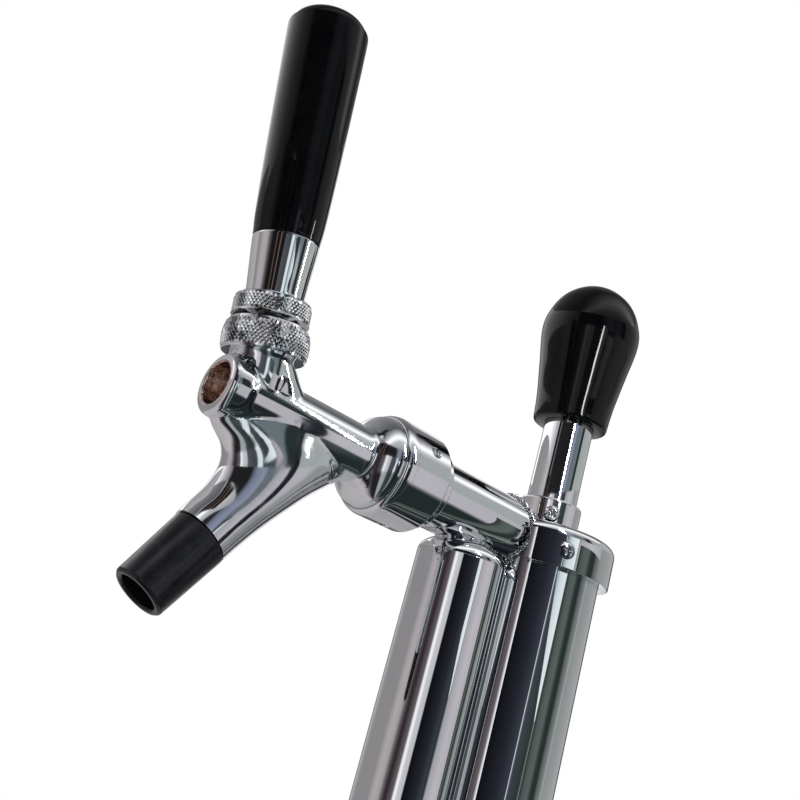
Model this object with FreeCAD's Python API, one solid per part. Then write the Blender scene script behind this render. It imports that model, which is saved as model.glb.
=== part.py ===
import FreeCAD, Part
import math
import os

from FreeCAD import Placement, Rotation, Vector

# Keg party pump: a hand air pump and a beer column side by side on a keg coupler, with a
# lever faucet on an arm across their tops. Millimetres, +Z up along the column, faucet
# towards -Y. Origin: column axis at the plane where the coupler rests on the keg's neck.

# Coupler: the base that locks into the keg's neck, and the winged collar that turns on it.
spigot_od = 49.6
spigot_depth = 14.0
lug_od = 57.0
lug_height = 5.0
lug_angle = 42.0
seat_flange_od = 63.0
seat_flange_height = 6.0
sleeve_od = 45.0
sleeve_top = 30.0
neck_seal_od = 46.0
neck_seal_id = 40.0
neck_seal_height = 2.4
snap_ring_thickness = 1.4
snap_ring_depth = 1.2
snap_ring_below_top = 2.6
collar_od = 56.0
collar_top = 44.0
wing_span = 116.0
wing_thickness = 8.0
wing_height = 22.0
wing_bottom = 9.0
wing_tip_d = 18.0
wing_hole_d = 10.0

# Stem, probe and their seals.
stem_od = 34.0
stem_drop = 8.0
stem_thread_od = 39.0
stem_thread_gap = 2.0
stem_ring_d = 2.4
stem_ring_levels = (-4.4, -0.4)
key_width = 5.0
key_depth = 2.0
key_length = 19.0
probe_travel = 9.0
probe_od = 19.0
probe_thread_od = 25.0
probe_thread_length = 7.0
probe_length = 44.0
probe_bore_d = 12.0
probe_foot_od = 26.0
probe_seal_height = 5.0
check_ball_d = 9.5

# Manifold: the cast foot that carries both tubes.
manifold_bottom = 47.0
manifold_top = 62.0
manifold_lip = 3.2
manifold_edge = 2.0
plug_height = 10.0
gas_channel_d = 4.0
gas_channel_z = 54.0
gas_drop_y = 12.0
beer_tube_od = 9.5
beer_tube_wall = 0.8
beer_tube_bend = 13.0
beer_socket_depth = 6.0

# Column, pump cylinder and arm, all chromed brass tube.
column_od = 33.7
cylinder_od = 50.8
arm_od = 26.0
tube_wall = 1.5
seam_gap = 0.1
seam_fillet_width = 3.5
cylinder_length = 196.5
cap_overlap = 11.0
arm_above_skirt = 10.6
arm_reach = 28.0
column_dome_height = 8.0
column_below_skirt = 7.5
weld_leg = 1.6

# Pump cap, bush, rod, knob and piston.
cap_wall = 3.75
cap_height = 16.6
cap_edge = 4.0
cap_screw_d = 6.2
cap_screw_angles = (60.0, 180.0, 300.0)
cap_screw_z = 6.8
cap_gasket_thickness = 1.0
bush_shoulder = 5.0
bush_od = 25.4
bush_top_above_skirt = 29.5
bush_edge = 1.6
bush_screw_d = 5.8
bush_screw_angle = 45.0
bush_screw_above_skirt = 22.7
rod_od = 20.4
rod_wall = 1.4
rod_show = 34.5
knob_length = 64.3
knob_foot_d = 31.0
knob_belly_d = 41.6
knob_belly_height = 41.0
stud_d = 9.5
stud_above_rod = 20.0
rod_in_knob = 6.0
plug_in_rod = 18.0
end_plug_in_rod = 14.0
piston_plate_gap = 1.9
piston_plate_thickness = 3.0
piston_washer_gap = 5.9
cup_height = 9.0
cup_wall = 2.4
piston_bolt_d = 8.0
piston_nut_flats = 13.0
piston_nut_height = 6.5
piston_floor_gap = 1.0

# Air check valve in the pump's foot.
valve_pocket_d = 27.0
valve_pocket_depth = 6.5
valve_disc_d = 20.0
valve_disc_thickness = 1.5
retainer_thickness = 2.0

# Relief valve with its pull ring, on the manifold's +X side.
relief_y = 21.0
relief_boss_rise = 1.7
relief_body_d = 12.0
relief_hex_flats = 14.0
relief_hex_length = 5.0
relief_length = 15.0
relief_eye_ahead = 5.9
relief_pin_d = 4.0
relief_head_d = 7.4
relief_pull = 3.0
relief_ring_d = 22.0
relief_wire_d = 1.8
spring_wire_d = 0.8
spring_turns = 5

# Faucet: shank, coupling nut and body. Lengths run forward from the column's axis.
shank_ring_od = 31.0
shank_ring_thickness = 4.3
shank_flange_thickness = 3.5
shank_neck_od = 22.0
shank_plug_length = 14.0
nut_gap = 0.5
nut_od = 36.8
nut_length = 20.85
nut_back_wall = 4.0
nut_edge = 3.5
nut_spanner_hole_d = 3.6
gasket_thickness = 1.5
faucet_thread_od = 28.6
bell_od = 33.4
bell_length = 10.0
faucet_reach = 67.4
barrel_od = 20.0
mouth_od = 21.0
mouth_length = 9.0
mouth_bore_d = 13.8
mouth_edge = 2.2
mouth_chamfer = 0.8
guide_bore_d = 13.2
neck_back = 14.84
neck_lean = 8.4
neck_od = 20.6
vent_hole_d = 3.0
vent_turn = 34.0
vent_height = 8.0
seat_back = 51.0
seat_thickness = 4.0
seat_hole_d = 9.2
chamber_d = 17.2
spout_tip_length = 24.9
spout_end_d = 19.5
spout_tip_end_d = 17.9
spout_bore_d = 13.0
spout_spigot_d = 15.6
spout_spigot_length = 12.0
spout_lean = 32.4
spout_drop = 45.1
spout_back = 12.4

# Lever, bonnet and handle, measured along the neck's leaning axis from the ball's centre.
ball_above_barrel = 18.9
ball_d = 14.0
lever_arm = 19.0
lever_tip_d = 5.6
lever_arm_d = 6.4
lever_neck_d = 8.4
lever_thread_d = 9.5
lever_swing = 23.0
bonnet_d = 28.6
bonnet_foot = -4.6
bonnet_foot_d = 27.8
bonnet_top = 6.0
lever_collar_d = 25.4
lever_collar_foot = 7.4
lever_collar_top = 13.9
lever_collar_web = 2.9
ferrule_length = 20.2
ferrule_foot_d = 18.8
ferrule_top_d = 22.0
handle_length = 82.5
handle_middle_d = 25.4
handle_head_d = 28.4
handle_insert_d = 13.0
shaft_collar_length = 16.0
shaft_collar_ahead = 8.4
shaft_d = 5.5
seat_washer_d = 13.0
seat_washer_thickness = 3.5
shaft_nut_flats = 8.0
shaft_nut_height = 4.0

# Clearances.
press = 0.05
running = 0.08
apart = 0.3
ball_gap = 0.4
shaft_gap = 0.1
slot_gap = 0.35

# Length and half width of plain cutting solids, more than anything that they cut through.
cutter = 60.0
cutter_half = 30.0

UP = Vector(0, 0, 1)
AHEAD = Vector(0, -1, 0)
RIGHT = Vector(1, 0, 0)
CENTRE = Vector(0, 0, 0)

# Heights and places that follow from the sizes above.
pump_y = column_od / 2 + cylinder_od / 2 + seam_gap
cylinder_top = manifold_top + cylinder_length
skirt_z = cylinder_top - cap_overlap
cap_top = skirt_z + cap_height
bush_top = skirt_z + bush_top_above_skirt
arm_z = skirt_z + arm_above_skirt
column_top = skirt_z - column_below_skirt
plug_top = manifold_top + plug_height
cap_od = cylinder_od + 2 * press + 2 * cap_wall
knob_foot = bush_top + rod_show
column_bore = column_od / 2 - tube_wall
cylinder_bore = cylinder_od / 2 - tube_wall
piston_plate_d = 2 * (cylinder_bore - piston_plate_gap)
piston_washer_d = 2 * (cylinder_bore - piston_washer_gap)
arm_bore = arm_od / 2 - tube_wall
stem_bottom = -stem_drop
stem_shoulder = sleeve_top + stem_thread_gap
retainer_top = plug_top + retainer_thickness
piston_foot = retainer_top + piston_floor_gap + rod_show
ring_front = arm_reach + shank_ring_thickness
nut_back = ring_front + nut_gap
nut_front = nut_back + nut_length
flange_back = nut_back + nut_back_wall + press
flange_front = flange_back + shank_flange_thickness
faucet_back = flange_front + gasket_thickness
mouth = nut_front + faucet_reach
seat_face = mouth - seat_back - seat_thickness
neck_foot = mouth - neck_back
lean = math.radians(neck_lean)
NECK = Vector(0, -math.sin(lean), math.cos(lean))
BALL = Vector(0, -neck_foot - ball_above_barrel * math.tan(lean), arm_z + ball_above_barrel)
spout_angle = math.radians(spout_lean)
SPOUT = Vector(0, -math.sin(spout_angle), -math.cos(spout_angle))


def point_at(radius, height):
    return Vector(radius, 0, height)


def turned(outline, base=CENTRE, axis=UP):
    """Solid turned from (radius, height) corners. Four numbers make an arc: through, to.
    A list of corners makes one smooth curve, which ends square to the axis if it ends on it."""
    edges = []
    here = point_at(*outline[0])
    for step in list(outline[1:]) + [outline[0]]:
        if isinstance(step, list):
            stops = [here] + [point_at(*corner) for corner in step]
            curve = Part.BSplineCurve()
            if step[-1][0] == 0:
                curve.interpolate(Points=stops, InitialTangent=stops[1] - stops[0], FinalTangent=-RIGHT)
            else:
                curve.interpolate(stops)
            edges.append(curve.toShape())
            here = stops[-1]
            continue
        end = point_at(*step[-2:])
        if len(step) == 4:
            edges.append(Part.Arc(here, point_at(*step[:2]), end).toShape())
        elif (end - here).Length > 1e-6:
            edges.append(Part.LineSegment(here, end).toShape())
        here = end
    solid = Part.Face(Part.Wire(edges)).revolve(CENTRE, UP, 360)
    if solid.Volume < 0:
        solid.reverse()
    solid.Placement = Placement(base, Rotation(UP, axis))
    return solid


def rod(diameter, length, base=CENTRE, axis=UP):
    return Part.makeCylinder(diameter / 2, length, base, axis)


def ring(outer_d, inner_d, length, base=CENTRE, axis=UP):
    return rod(outer_d, length, base, axis).cut(rod(inner_d, length, base, axis))


def hexagon(flats, length, base=CENTRE, axis=UP):
    corners = [
        Vector(flats / math.sqrt(3) * math.cos(math.radians(60 * i)),
               flats / math.sqrt(3) * math.sin(math.radians(60 * i)), 0)
        for i in range(7)
    ]
    solid = Part.Face(Part.makePolygon(corners)).extrude(Vector(0, 0, length))
    solid.Placement = Placement(base, Rotation(UP, axis))
    return solid


def seal_ring(radius, wire_d, base=CENTRE, axis=UP):
    return Part.makeTorus(radius, wire_d / 2, base, axis)


def block(x, y, z):
    """Box between pairs of limits."""
    return Part.makeBox(x[1] - x[0], y[1] - y[0], z[1] - z[0], Vector(x[0], y[0], z[0]))


def ahead(distance, height):
    """Point on the symmetry plane, a distance forward and a height from the arm's axis."""
    return Vector(0, -distance, arm_z + height)


def egg_face(small, large, distance):
    """Level face round a small circle at the origin and a large one at a distance along +Y,
    closed by tangent sides."""
    slope = math.asin((large - small) / distance)
    touch = [
        Vector(side * radius * math.cos(slope), y - radius * math.sin(slope), 0)
        for side, radius, y in ((1, small, 0), (1, large, distance), (-1, large, distance), (-1, small, 0))
    ]
    return Part.Face(Part.Wire([
        Part.LineSegment(touch[0], touch[1]).toShape(),
        Part.Arc(touch[1], Vector(0, distance + large, 0), touch[2]).toShape(),
        Part.LineSegment(touch[2], touch[3]).toShape(),
        Part.Arc(touch[3], Vector(0, -small, 0), touch[0]).toShape(),
    ]))


def on_pump(height):
    return Vector(0, pump_y, height)


def along_neck(distance):
    return BALL + NECK * distance


def around(angle):
    """Level direction at an angle from straight ahead, turning towards +X."""
    turn = math.radians(angle)
    return Vector(math.sin(turn), -math.cos(turn), 0)


def oval_face(centre, half_y, half_x):
    """Level ellipse, as a wire for a loft."""
    major, minor = max(half_y, half_x), min(half_y, half_x)
    long_way = Vector(0, 1, 0) if half_y >= half_x else RIGHT
    short_way = UP.cross(long_way)
    curve = Part.Ellipse(centre + long_way * major, centre + short_way * minor, centre)
    return Part.Wire(curve.toShape())


# Coupler.

def lug_base():
    outer = turned([
        (0, -spigot_depth), (spigot_od / 2 - 1, -spigot_depth), (spigot_od / 2, 1 - spigot_depth),
        (spigot_od / 2, 0), (seat_flange_od / 2, 0), (seat_flange_od / 2, seat_flange_height - 1),
        (seat_flange_od / 2 - 1, seat_flange_height), (sleeve_od / 2, seat_flange_height),
        (sleeve_od / 2, sleeve_top - 0.8), (sleeve_od / 2 - 0.8, sleeve_top), (0, sleeve_top),
    ])
    lug = rod(lug_od, lug_height, Vector(0, 0, -spigot_depth))
    for half in (0, 180):
        wedge = Part.makeCylinder(lug_od, lug_height, Vector(0, 0, -spigot_depth), UP, lug_angle)
        wedge.rotate(CENTRE, UP, half - lug_angle / 2)
        outer = outer.fuse(lug.common(wedge))
    bore = rod(stem_od + 2 * running, sleeve_top + spigot_depth, Vector(0, 0, -spigot_depth))
    keyway_half = key_width / 2 + apart
    keyway_reach = stem_od / 2 + key_depth + apart
    keyway = block((-keyway_half, keyway_half), (-keyway_reach, keyway_reach),
                   (sleeve_top - key_length - probe_travel - apart, sleeve_top))
    groove_z = sleeve_top - snap_ring_below_top - snap_ring_thickness
    groove = ring(sleeve_od + 2, sleeve_od - 2 * snap_ring_depth - 2 * press,
                  snap_ring_thickness + 2 * press, Vector(0, 0, groove_z - press))
    seal_seat = ring(neck_seal_od + 2 * press, neck_seal_id - 2 * press, neck_seal_height / 2,
                     Vector(0, 0, -spigot_depth))
    return outer.cut([bore, keyway, groove, seal_seat]).removeSplitter()


def neck_seal():
    return turned([
        (neck_seal_id / 2, -spigot_depth - neck_seal_height / 2),
        (neck_seal_od / 2, -spigot_depth - neck_seal_height / 2),
        (neck_seal_od / 2, -spigot_depth + neck_seal_height / 2 - press),
        (neck_seal_id / 2, -spigot_depth + neck_seal_height / 2 - press),
    ])


def snap_ring():
    base = Vector(0, 0, sleeve_top - snap_ring_below_top - snap_ring_thickness)
    whole = ring(sleeve_od + 2 * snap_ring_depth, sleeve_od - 2 * snap_ring_depth,
                 snap_ring_thickness, base)
    gap = block((0, sleeve_od), (-2, 2), (base.z - 1, base.z + snap_ring_thickness + 1))
    return whole.cut(gap)


def wing():
    """One wing, from inside the collar's wall out to its rounded and pierced end."""
    root = wing_height / 2
    tip = wing_tip_d / 2
    blade = egg_face(tip, root, wing_span / 2 - tip).extrude(Vector(0, 0, wing_thickness))
    rims = [edge for edge in blade.Edges if edge.BoundBox.ZLength < 0.01]
    blade = blade.makeFillet(wing_thickness * 0.3, rims)
    blade = blade.cut(rod(wing_hole_d, wing_thickness, Vector(0, 0, 0)))
    blade.Placement = Placement(Vector(wing_span / 2 - tip, wing_thickness / 2, wing_bottom + root),
                                Rotation(UP, -RIGHT, AHEAD, "XYZ"))
    return blade


def wing_collar():
    foot = seat_flange_height + apart
    body = turned([
        (0, foot), (collar_od / 2 - 1, foot), (collar_od / 2, foot + 1), (collar_od / 2, collar_top - 6),
        (collar_od / 2 - 1, collar_top - 2.2, collar_od / 2 - 4, collar_top), (0, collar_top),
    ])
    for side in (0, 180):
        blade = wing()
        blade.rotate(CENTRE, UP, side)
        body = body.fuse(blade)
    sleeve_bore = rod(sleeve_od + 2 * running, sleeve_top + apart - foot, Vector(0, 0, foot))
    ring_z = sleeve_top - snap_ring_below_top - snap_ring_thickness
    ring_room = rod(sleeve_od + 2 * snap_ring_depth + 2 * apart, snap_ring_thickness + 2 * apart,
                    Vector(0, 0, ring_z - apart))
    thread_bore = rod(stem_thread_od + 2 * running, collar_top - foot, Vector(0, 0, foot))
    return body.cut([sleeve_bore, ring_room, thread_bore]).removeSplitter()


# Stem, manifold and probe: one casting, with what screws into its foot.

def manifold_block():
    """Egg-shaped foot: two rounds with tangent sides, one under each tube."""
    small = column_od / 2 + manifold_lip
    large = cylinder_od / 2 + manifold_lip
    solid = egg_face(small, large, pump_y).extrude(Vector(0, 0, manifold_top - manifold_bottom))
    level = [edge for edge in solid.Edges if edge.BoundBox.ZLength < 0.01]
    solid = solid.makeFillet(manifold_edge, level)
    solid.translate(Vector(0, 0, manifold_bottom))
    return solid


def gas_channels():
    """Air way from the pump's foot, across and down beside the beer way."""
    across = rod(gas_channel_d, pump_y - gas_drop_y, Vector(0, gas_drop_y, gas_channel_z), Vector(0, 1, 0))
    rise = rod(gas_channel_d, plug_top - gas_channel_z, on_pump(gas_channel_z))
    down = rod(gas_channel_d, gas_channel_z - stem_bottom, Vector(0, gas_drop_y, stem_bottom))
    relief = rod(gas_channel_d, cylinder_od / 2, Vector(0, relief_y, gas_channel_z), RIGHT)
    return [across, rise, down, relief]


def relief_seat_x():
    """Where the relief valve's hexagon seats on the manifold's side."""
    small = column_od / 2 + manifold_lip
    large = cylinder_od / 2 + manifold_lip
    slope = math.asin((large - small) / pump_y)
    return small * math.cos(slope) + (relief_y + small * math.sin(slope)) * math.tan(slope) + relief_boss_rise


def manifold():
    stem = rod(stem_od, manifold_bottom - stem_bottom + 1, Vector(0, 0, stem_bottom))
    thread = turned([
        (0, stem_shoulder), (stem_thread_od / 2 - 1, stem_shoulder),
        (stem_thread_od / 2, stem_shoulder + 1), (stem_thread_od / 2, manifold_bottom + 1),
        (0, manifold_bottom + 1),
    ])
    key_reach = stem_od / 2 + key_depth
    keys = block((-key_width / 2, key_width / 2), (-key_reach, key_reach),
                 (sleeve_top - key_length - probe_travel, sleeve_top - probe_travel))
    column_plug = turned([
        (0, manifold_top - 1), (column_bore - press, manifold_top - 1),
        (column_bore - press, plug_top - 1), (column_bore - press - 1, plug_top), (0, plug_top),
    ])
    pump_plug = turned([
        (0, manifold_top - 1), (cylinder_bore - press, manifold_top - 1),
        (cylinder_bore - press, plug_top - 1), (cylinder_bore - press - 1, plug_top), (0, plug_top),
    ], on_pump(0))
    relief_boss = rod(relief_hex_flats, relief_seat_x() - 8, Vector(8, relief_y, gas_channel_z), RIGHT)
    casting = manifold_block().fuse([stem, thread, keys, column_plug, pump_plug, relief_boss])
    beer_way = rod(probe_bore_d - 2, plug_top - stem_bottom, Vector(0, 0, stem_bottom))
    beer_socket = rod(beer_tube_od + 2 * press, beer_socket_depth + 1, Vector(0, 0, plug_top - beer_socket_depth))
    probe_thread = rod(probe_thread_od + 2 * press, probe_thread_length, Vector(0, 0, stem_bottom))
    gas_mouth = ring(stem_od - 3, probe_thread_od - 1, 1.5, Vector(0, 0, stem_bottom))
    valve_pocket = rod(valve_pocket_d, valve_pocket_depth, on_pump(plug_top - valve_pocket_depth))
    retainer_seat = rod(valve_pocket_d + 6, retainer_thickness / 2, on_pump(plug_top - retainer_thickness / 2))
    stem_grooves = [seal_groove(stem_od, stem_ring_d, Vector(0, 0, level)) for level in stem_ring_levels]
    cylinder_groove = seal_groove(2 * (cylinder_bore - press), stem_ring_d, on_pump(cylinder_seal_z()))
    relief_thread = rod(relief_body_d - 3, 8.2, Vector(relief_seat_x() - 8.2, relief_y, gas_channel_z), RIGHT)
    sleeve = ring(beer_tube_od + 6, beer_tube_od + 2 * press, beer_socket_depth,
                  Vector(0, 0, plug_top - beer_socket_depth))
    narrow = ring(probe_bore_d, beer_tube_od - 2 * beer_tube_wall, 4,
                  Vector(0, 0, plug_top - beer_socket_depth - 4))
    casting = casting.cut([beer_way, probe_thread, gas_mouth, valve_pocket, retainer_seat, cylinder_groove,
                           relief_thread] + stem_grooves + gas_channels())
    casting = casting.fuse([sleeve, narrow]).cut(beer_socket)
    return casting.removeSplitter()


def seal_groove(diameter, wire_d, base):
    floor = diameter - 2 * wire_d - 2 * press
    width = wire_d * 1.15
    return ring(diameter + 4, floor, width, base - UP * (width / 2))


def cylinder_seal_z():
    return manifold_top + plug_height * 0.3


def stem_seals():
    """Two rubber rings in the stem's grooves."""
    radius = stem_od / 2 + running - press - stem_ring_d / 2
    return Part.makeCompound([seal_ring(radius, stem_ring_d, Vector(0, 0, level)) for level in stem_ring_levels])


def cylinder_seal():
    radius = cylinder_bore - press / 2 - stem_ring_d / 2
    return seal_ring(radius, stem_ring_d, on_pump(cylinder_seal_z()))


def probe_bottom():
    return stem_bottom + probe_thread_length - probe_length


def probe():
    foot = probe_bottom()
    seal_top = foot + 4 + probe_seal_height
    outer = turned([
        (0, foot), (probe_foot_od / 2 - 2, foot), (probe_foot_od / 2, foot + 2),
        (probe_foot_od / 2, foot + 4), (probe_od / 2, foot + 4), (probe_od / 2, seal_top),
        (probe_foot_od / 2 - 0.5, seal_top), (probe_foot_od / 2 - 0.5, seal_top + 2),
        (probe_od / 2, seal_top + 5), (probe_od / 2, stem_bottom - 3),
        (probe_thread_od / 2, stem_bottom - 3), (probe_thread_od / 2, stem_bottom + probe_thread_length - press),
        (0, stem_bottom + probe_thread_length - press),
    ])
    cage = rod(probe_bore_d, 13, Vector(0, 0, foot + 3))
    guard_hole = rod(probe_bore_d - 4, 3.5, Vector(0, 0, foot + 15))
    bore = rod(probe_bore_d, probe_length, Vector(0, 0, foot + 17.5))
    mouth_hole = rod(check_ball_d - 1.5, 4, Vector(0, 0, foot))
    slots = [block((-2, 2), (-probe_foot_od, probe_foot_od), (seal_top + 7, seal_top + 13)),
             block((-probe_foot_od, probe_foot_od), (-2, 2), (seal_top + 7, seal_top + 13))]
    air_ways = ring(probe_thread_od + 2, probe_thread_od - 1.5, 3, Vector(0, 0, stem_bottom - 3))
    return outer.cut([cage, guard_hole, bore, mouth_hole, air_ways] + slots)


def probe_seal():
    foot = probe_bottom() + 4
    return turned([
        (probe_od / 2 + press, foot + press), (probe_foot_od / 2 + 1, foot + press),
        (probe_foot_od / 2 + 2, foot + probe_seal_height / 2, probe_foot_od / 2 + 1,
         foot + probe_seal_height - press),
        (probe_od / 2 + press, foot + probe_seal_height - press),
    ])


def check_ball():
    seat = probe_bottom() + 3
    return Part.makeSphere(check_ball_d / 2, Vector(0, 0, seat + check_ball_d / 2 - 0.9))


# Column, arm and pump cylinder.

def arm_cylinder(diameter, start=-arm_reach, end=cutter):
    return rod(diameter, end - start, Vector(0, start, arm_z), Vector(0, 1, 0))


def column_tube():
    return ring(column_od, 2 * column_bore, column_top - manifold_top, Vector(0, 0, manifold_top))


def column_dome(extra=0.0):
    """Rounded top of the column, before the arm is let into it."""
    radius = column_od / 2 + extra
    height = column_dome_height + extra
    waist = math.sqrt(0.5)
    return turned([
        (0, column_top), (radius, column_top),
        [(radius * math.cos(0.35), column_top + height * math.sin(0.35)),
         (radius * waist, column_top + height * waist),
         (radius * math.cos(1.2), column_top + height * math.sin(1.2)), (0, column_top + height)],
    ])


def column_cap():
    lining = rod(2 * column_bore - 2 * press, 6, Vector(0, 0, column_top - 6))
    whole = column_dome().fuse(lining)
    way = rod(beer_tube_od + 5, 2 * cutter, Vector(0, 0, column_top - cutter_half))
    return whole.cut([arm_cylinder(arm_od), way]).removeSplitter()


def seam_solder():
    """Solder in the two valleys between the column and the cylinder."""
    beads = []
    inner, outer = 2.2, 2.2 + seam_fillet_width
    middle = column_od / 2 + seam_gap / 2
    for side in (1, -1):
        limits = sorted((side * inner, side * outer))
        strip = block(limits, (middle - 4, middle + 4), (manifold_top, column_top - 1))
        strip = strip.cut([rod(column_od, cylinder_length, Vector(0, 0, manifold_top - 1)),
                           rod(cylinder_od, cylinder_length, on_pump(manifold_top - 1))])
        beads.append(strip)
    return Part.makeCompound([solid for bead in beads for solid in bead.Solids])


def arm_tube():
    """Cross tube: square at the faucet's end, hollowed round the pump cylinder at the other."""
    tube = arm_cylinder(arm_od).cut(arm_cylinder(2 * arm_bore))
    end_plate = ring(cylinder_od + 2 * tube_wall, 2 * cylinder_bore, cutter, on_pump(arm_z - cutter_half))
    end_plate = end_plate.common(arm_cylinder(2 * arm_bore + 0.5))
    sides, levels = (-cutter_half, cutter_half), (arm_z - cutter_half, arm_z + cutter_half)
    front_only = block(sides, (0, pump_y), levels)
    saddle = rod(cylinder_od, cutter, on_pump(arm_z - cutter_half))
    beyond = block(sides, (pump_y, pump_y + cutter), levels)
    way = rod(beer_tube_od + 5, arm_od / 2, Vector(0, 0, arm_z - arm_od / 2 - 1))
    whole = tube.fuse(end_plate.common(front_only)).cut([saddle, beyond, way])
    whole = max(whole.Solids, key=lambda solid: solid.Volume)
    return whole.removeSplitter()


def arm_welds():
    """Beads round the arm where it meets the cylinder, and where it sits in the column's dome."""
    reach = weld_leg
    at_pump = rod(cylinder_od + 2 * reach, arm_od + 4 * reach, on_pump(arm_z - arm_od / 2 - 2 * reach))
    at_pump = at_pump.common(arm_cylinder(arm_od + 2 * reach, 0, pump_y))
    at_pump = at_pump.cut([arm_cylinder(arm_od, -1, pump_y + 1), rod(cylinder_od, cutter, on_pump(arm_z - cutter_half)),
                           rod(column_od + 0.02, column_top - manifold_top, Vector(0, 0, manifold_top)),
                           column_dome()])
    at_column = column_dome(reach).common(arm_cylinder(arm_od + 2 * reach, -column_od / 2, column_od / 2))
    at_column = at_column.cut([arm_cylinder(arm_od, -cutter_half, cutter_half), column_dome(), at_pump,
                               rod(cylinder_od + 2 * reach + 0.2, cutter, on_pump(arm_z - cutter_half))])
    return Part.makeCompound([solid for weld in (at_pump, at_column) for solid in weld.Solids if solid.Volume > 1])


def beer_tube():
    """Stainless line up the column and along the arm to the shank."""
    foot = Vector(0, 0, plug_top - beer_socket_depth)
    turn_start = Vector(0, 0, arm_z - beer_tube_bend)
    turn_middle = Vector(0, -beer_tube_bend * (1 - math.sqrt(0.5)), arm_z - beer_tube_bend * (1 - math.sqrt(0.5)))
    turn_end = Vector(0, -beer_tube_bend, arm_z)
    finish = ahead(arm_reach - 2, 0)
    path = Part.Wire([
        Part.LineSegment(foot, turn_start).toShape(),
        Part.Arc(turn_start, turn_middle, turn_end).toShape(),
        Part.LineSegment(turn_end, finish).toShape(),
    ])
    outer = Part.Wire(Part.makeCircle(beer_tube_od / 2, foot, UP))
    inner = Part.Wire(Part.makeCircle(beer_tube_od / 2 - beer_tube_wall, foot, UP))
    return path.makePipeShell([outer], True, False).cut(path.makePipeShell([inner], True, False))


def pump_cylinder():
    return ring(cylinder_od, 2 * cylinder_bore, cylinder_length, on_pump(manifold_top))


def check_valve():
    """Rubber disc with its stem, which lets air down and not back."""
    face = plug_top - valve_pocket_depth
    return turned([
        (0, face + 0.6), (valve_disc_d / 2, face + 0.2), (valve_disc_d / 2, face + 0.2 + valve_disc_thickness),
        (3, face + 0.6 + valve_disc_thickness), (1.9, plug_top - retainer_thickness / 2 - press),
        (0, plug_top - retainer_thickness / 2 - press),
    ], on_pump(0))


def valve_retainer():
    plate = turned([
        (0, plug_top - retainer_thickness / 2), (valve_pocket_d / 2 + 3 - press, plug_top - retainer_thickness / 2),
        (valve_pocket_d / 2 + 3 - press, retainer_top - 0.6 - retainer_thickness / 2),
        (valve_pocket_d / 2 + 2.4, retainer_top - retainer_thickness / 2), (0, retainer_top - retainer_thickness / 2),
    ], on_pump(0))
    holes = []
    for i in range(6):
        spot = on_pump(plug_top - retainer_thickness) + around(60 * i) * (valve_pocket_d * 0.3)
        holes.append(rod(4.0, 3 * retainer_thickness, spot))
    return plate.cut(holes)


def cap_gasket():
    return ring(cylinder_od, 2 * cylinder_bore, cap_gasket_thickness, on_pump(cylinder_top))


def screw_spot(radius, angle, height):
    return on_pump(height) + around(angle) * radius


def pump_cap():
    """Turned cap with a rounded edge, a skirt over the cylinder and a notch for the arm's end."""
    skirt_bore = cylinder_od / 2 + press
    ceiling = cylinder_top + cap_gasket_thickness
    whole = turned([
        (bush_od / 2 + press, ceiling), (skirt_bore, ceiling), (skirt_bore, skirt_z),
        (cap_od / 2 - 0.5, skirt_z), (cap_od / 2, skirt_z + 0.5), (cap_od / 2, cap_top - cap_edge),
        (cap_od / 2 - cap_edge * (1 - math.sqrt(0.5)), cap_top - cap_edge * (1 - math.sqrt(0.5)),
         cap_od / 2 - cap_edge, cap_top),
        (bush_od / 2 + press, cap_top),
    ], on_pump(0))
    half = arm_od / 2 + weld_leg + apart
    notch = block((-half, half), (0, pump_y), (skirt_z - 1, cap_top + 1)).cut(
        rod(cylinder_od - 2 * press, cutter, on_pump(arm_z - cutter_half)))
    recesses = [
        rod(cap_screw_d + 2 * press, 4, screw_spot(cap_od / 2 - 1.0, angle, skirt_z + cap_screw_z), around(angle))
        for angle in cap_screw_angles
    ]
    shanks = [
        rod(3.0 + 2 * press, 8, screw_spot(cylinder_od / 2 - 0.5, angle, skirt_z + cap_screw_z), around(angle))
        for angle in cap_screw_angles
    ]
    return whole.cut([notch] + recesses + shanks).removeSplitter()


def cross_screw(head_d, shank_d, shank_length, dome=0.9):
    """Screw along +Z with its head's seat at zero and a cross slot in a low dome."""
    head = turned([
        (0, -shank_length), (shank_d / 2, -shank_length), (shank_d / 2, 0), (head_d / 2, 0),
        (head_d / 2, 0.9), (head_d / 2 * 0.72, 0.9 + dome * 0.72, 0, 0.9 + dome),
    ])
    slot_half = head_d * 0.07
    slots = [block((-slot_half, slot_half), (-head_d * 0.3, head_d * 0.3), (0.9, 4)),
             block((-head_d * 0.3, head_d * 0.3), (-slot_half, slot_half), (0.9, 4))]
    return head.cut(slots)


def placed(shape, base, axis):
    copy = shape.copy()
    copy.Placement = Placement(base, Rotation(UP, axis))
    return copy


def cap_screws():
    """Three screws, each through the skirt to the cylinder's wall."""
    seat = cap_od / 2 - 1.0
    length = seat - cylinder_od / 2 - 2 * press
    screw = cross_screw(cap_screw_d, 3.0, length)
    return Part.makeCompound([
        placed(screw, screw_spot(seat, angle, skirt_z + cap_screw_z), around(angle))
        for angle in cap_screw_angles
    ])


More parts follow.
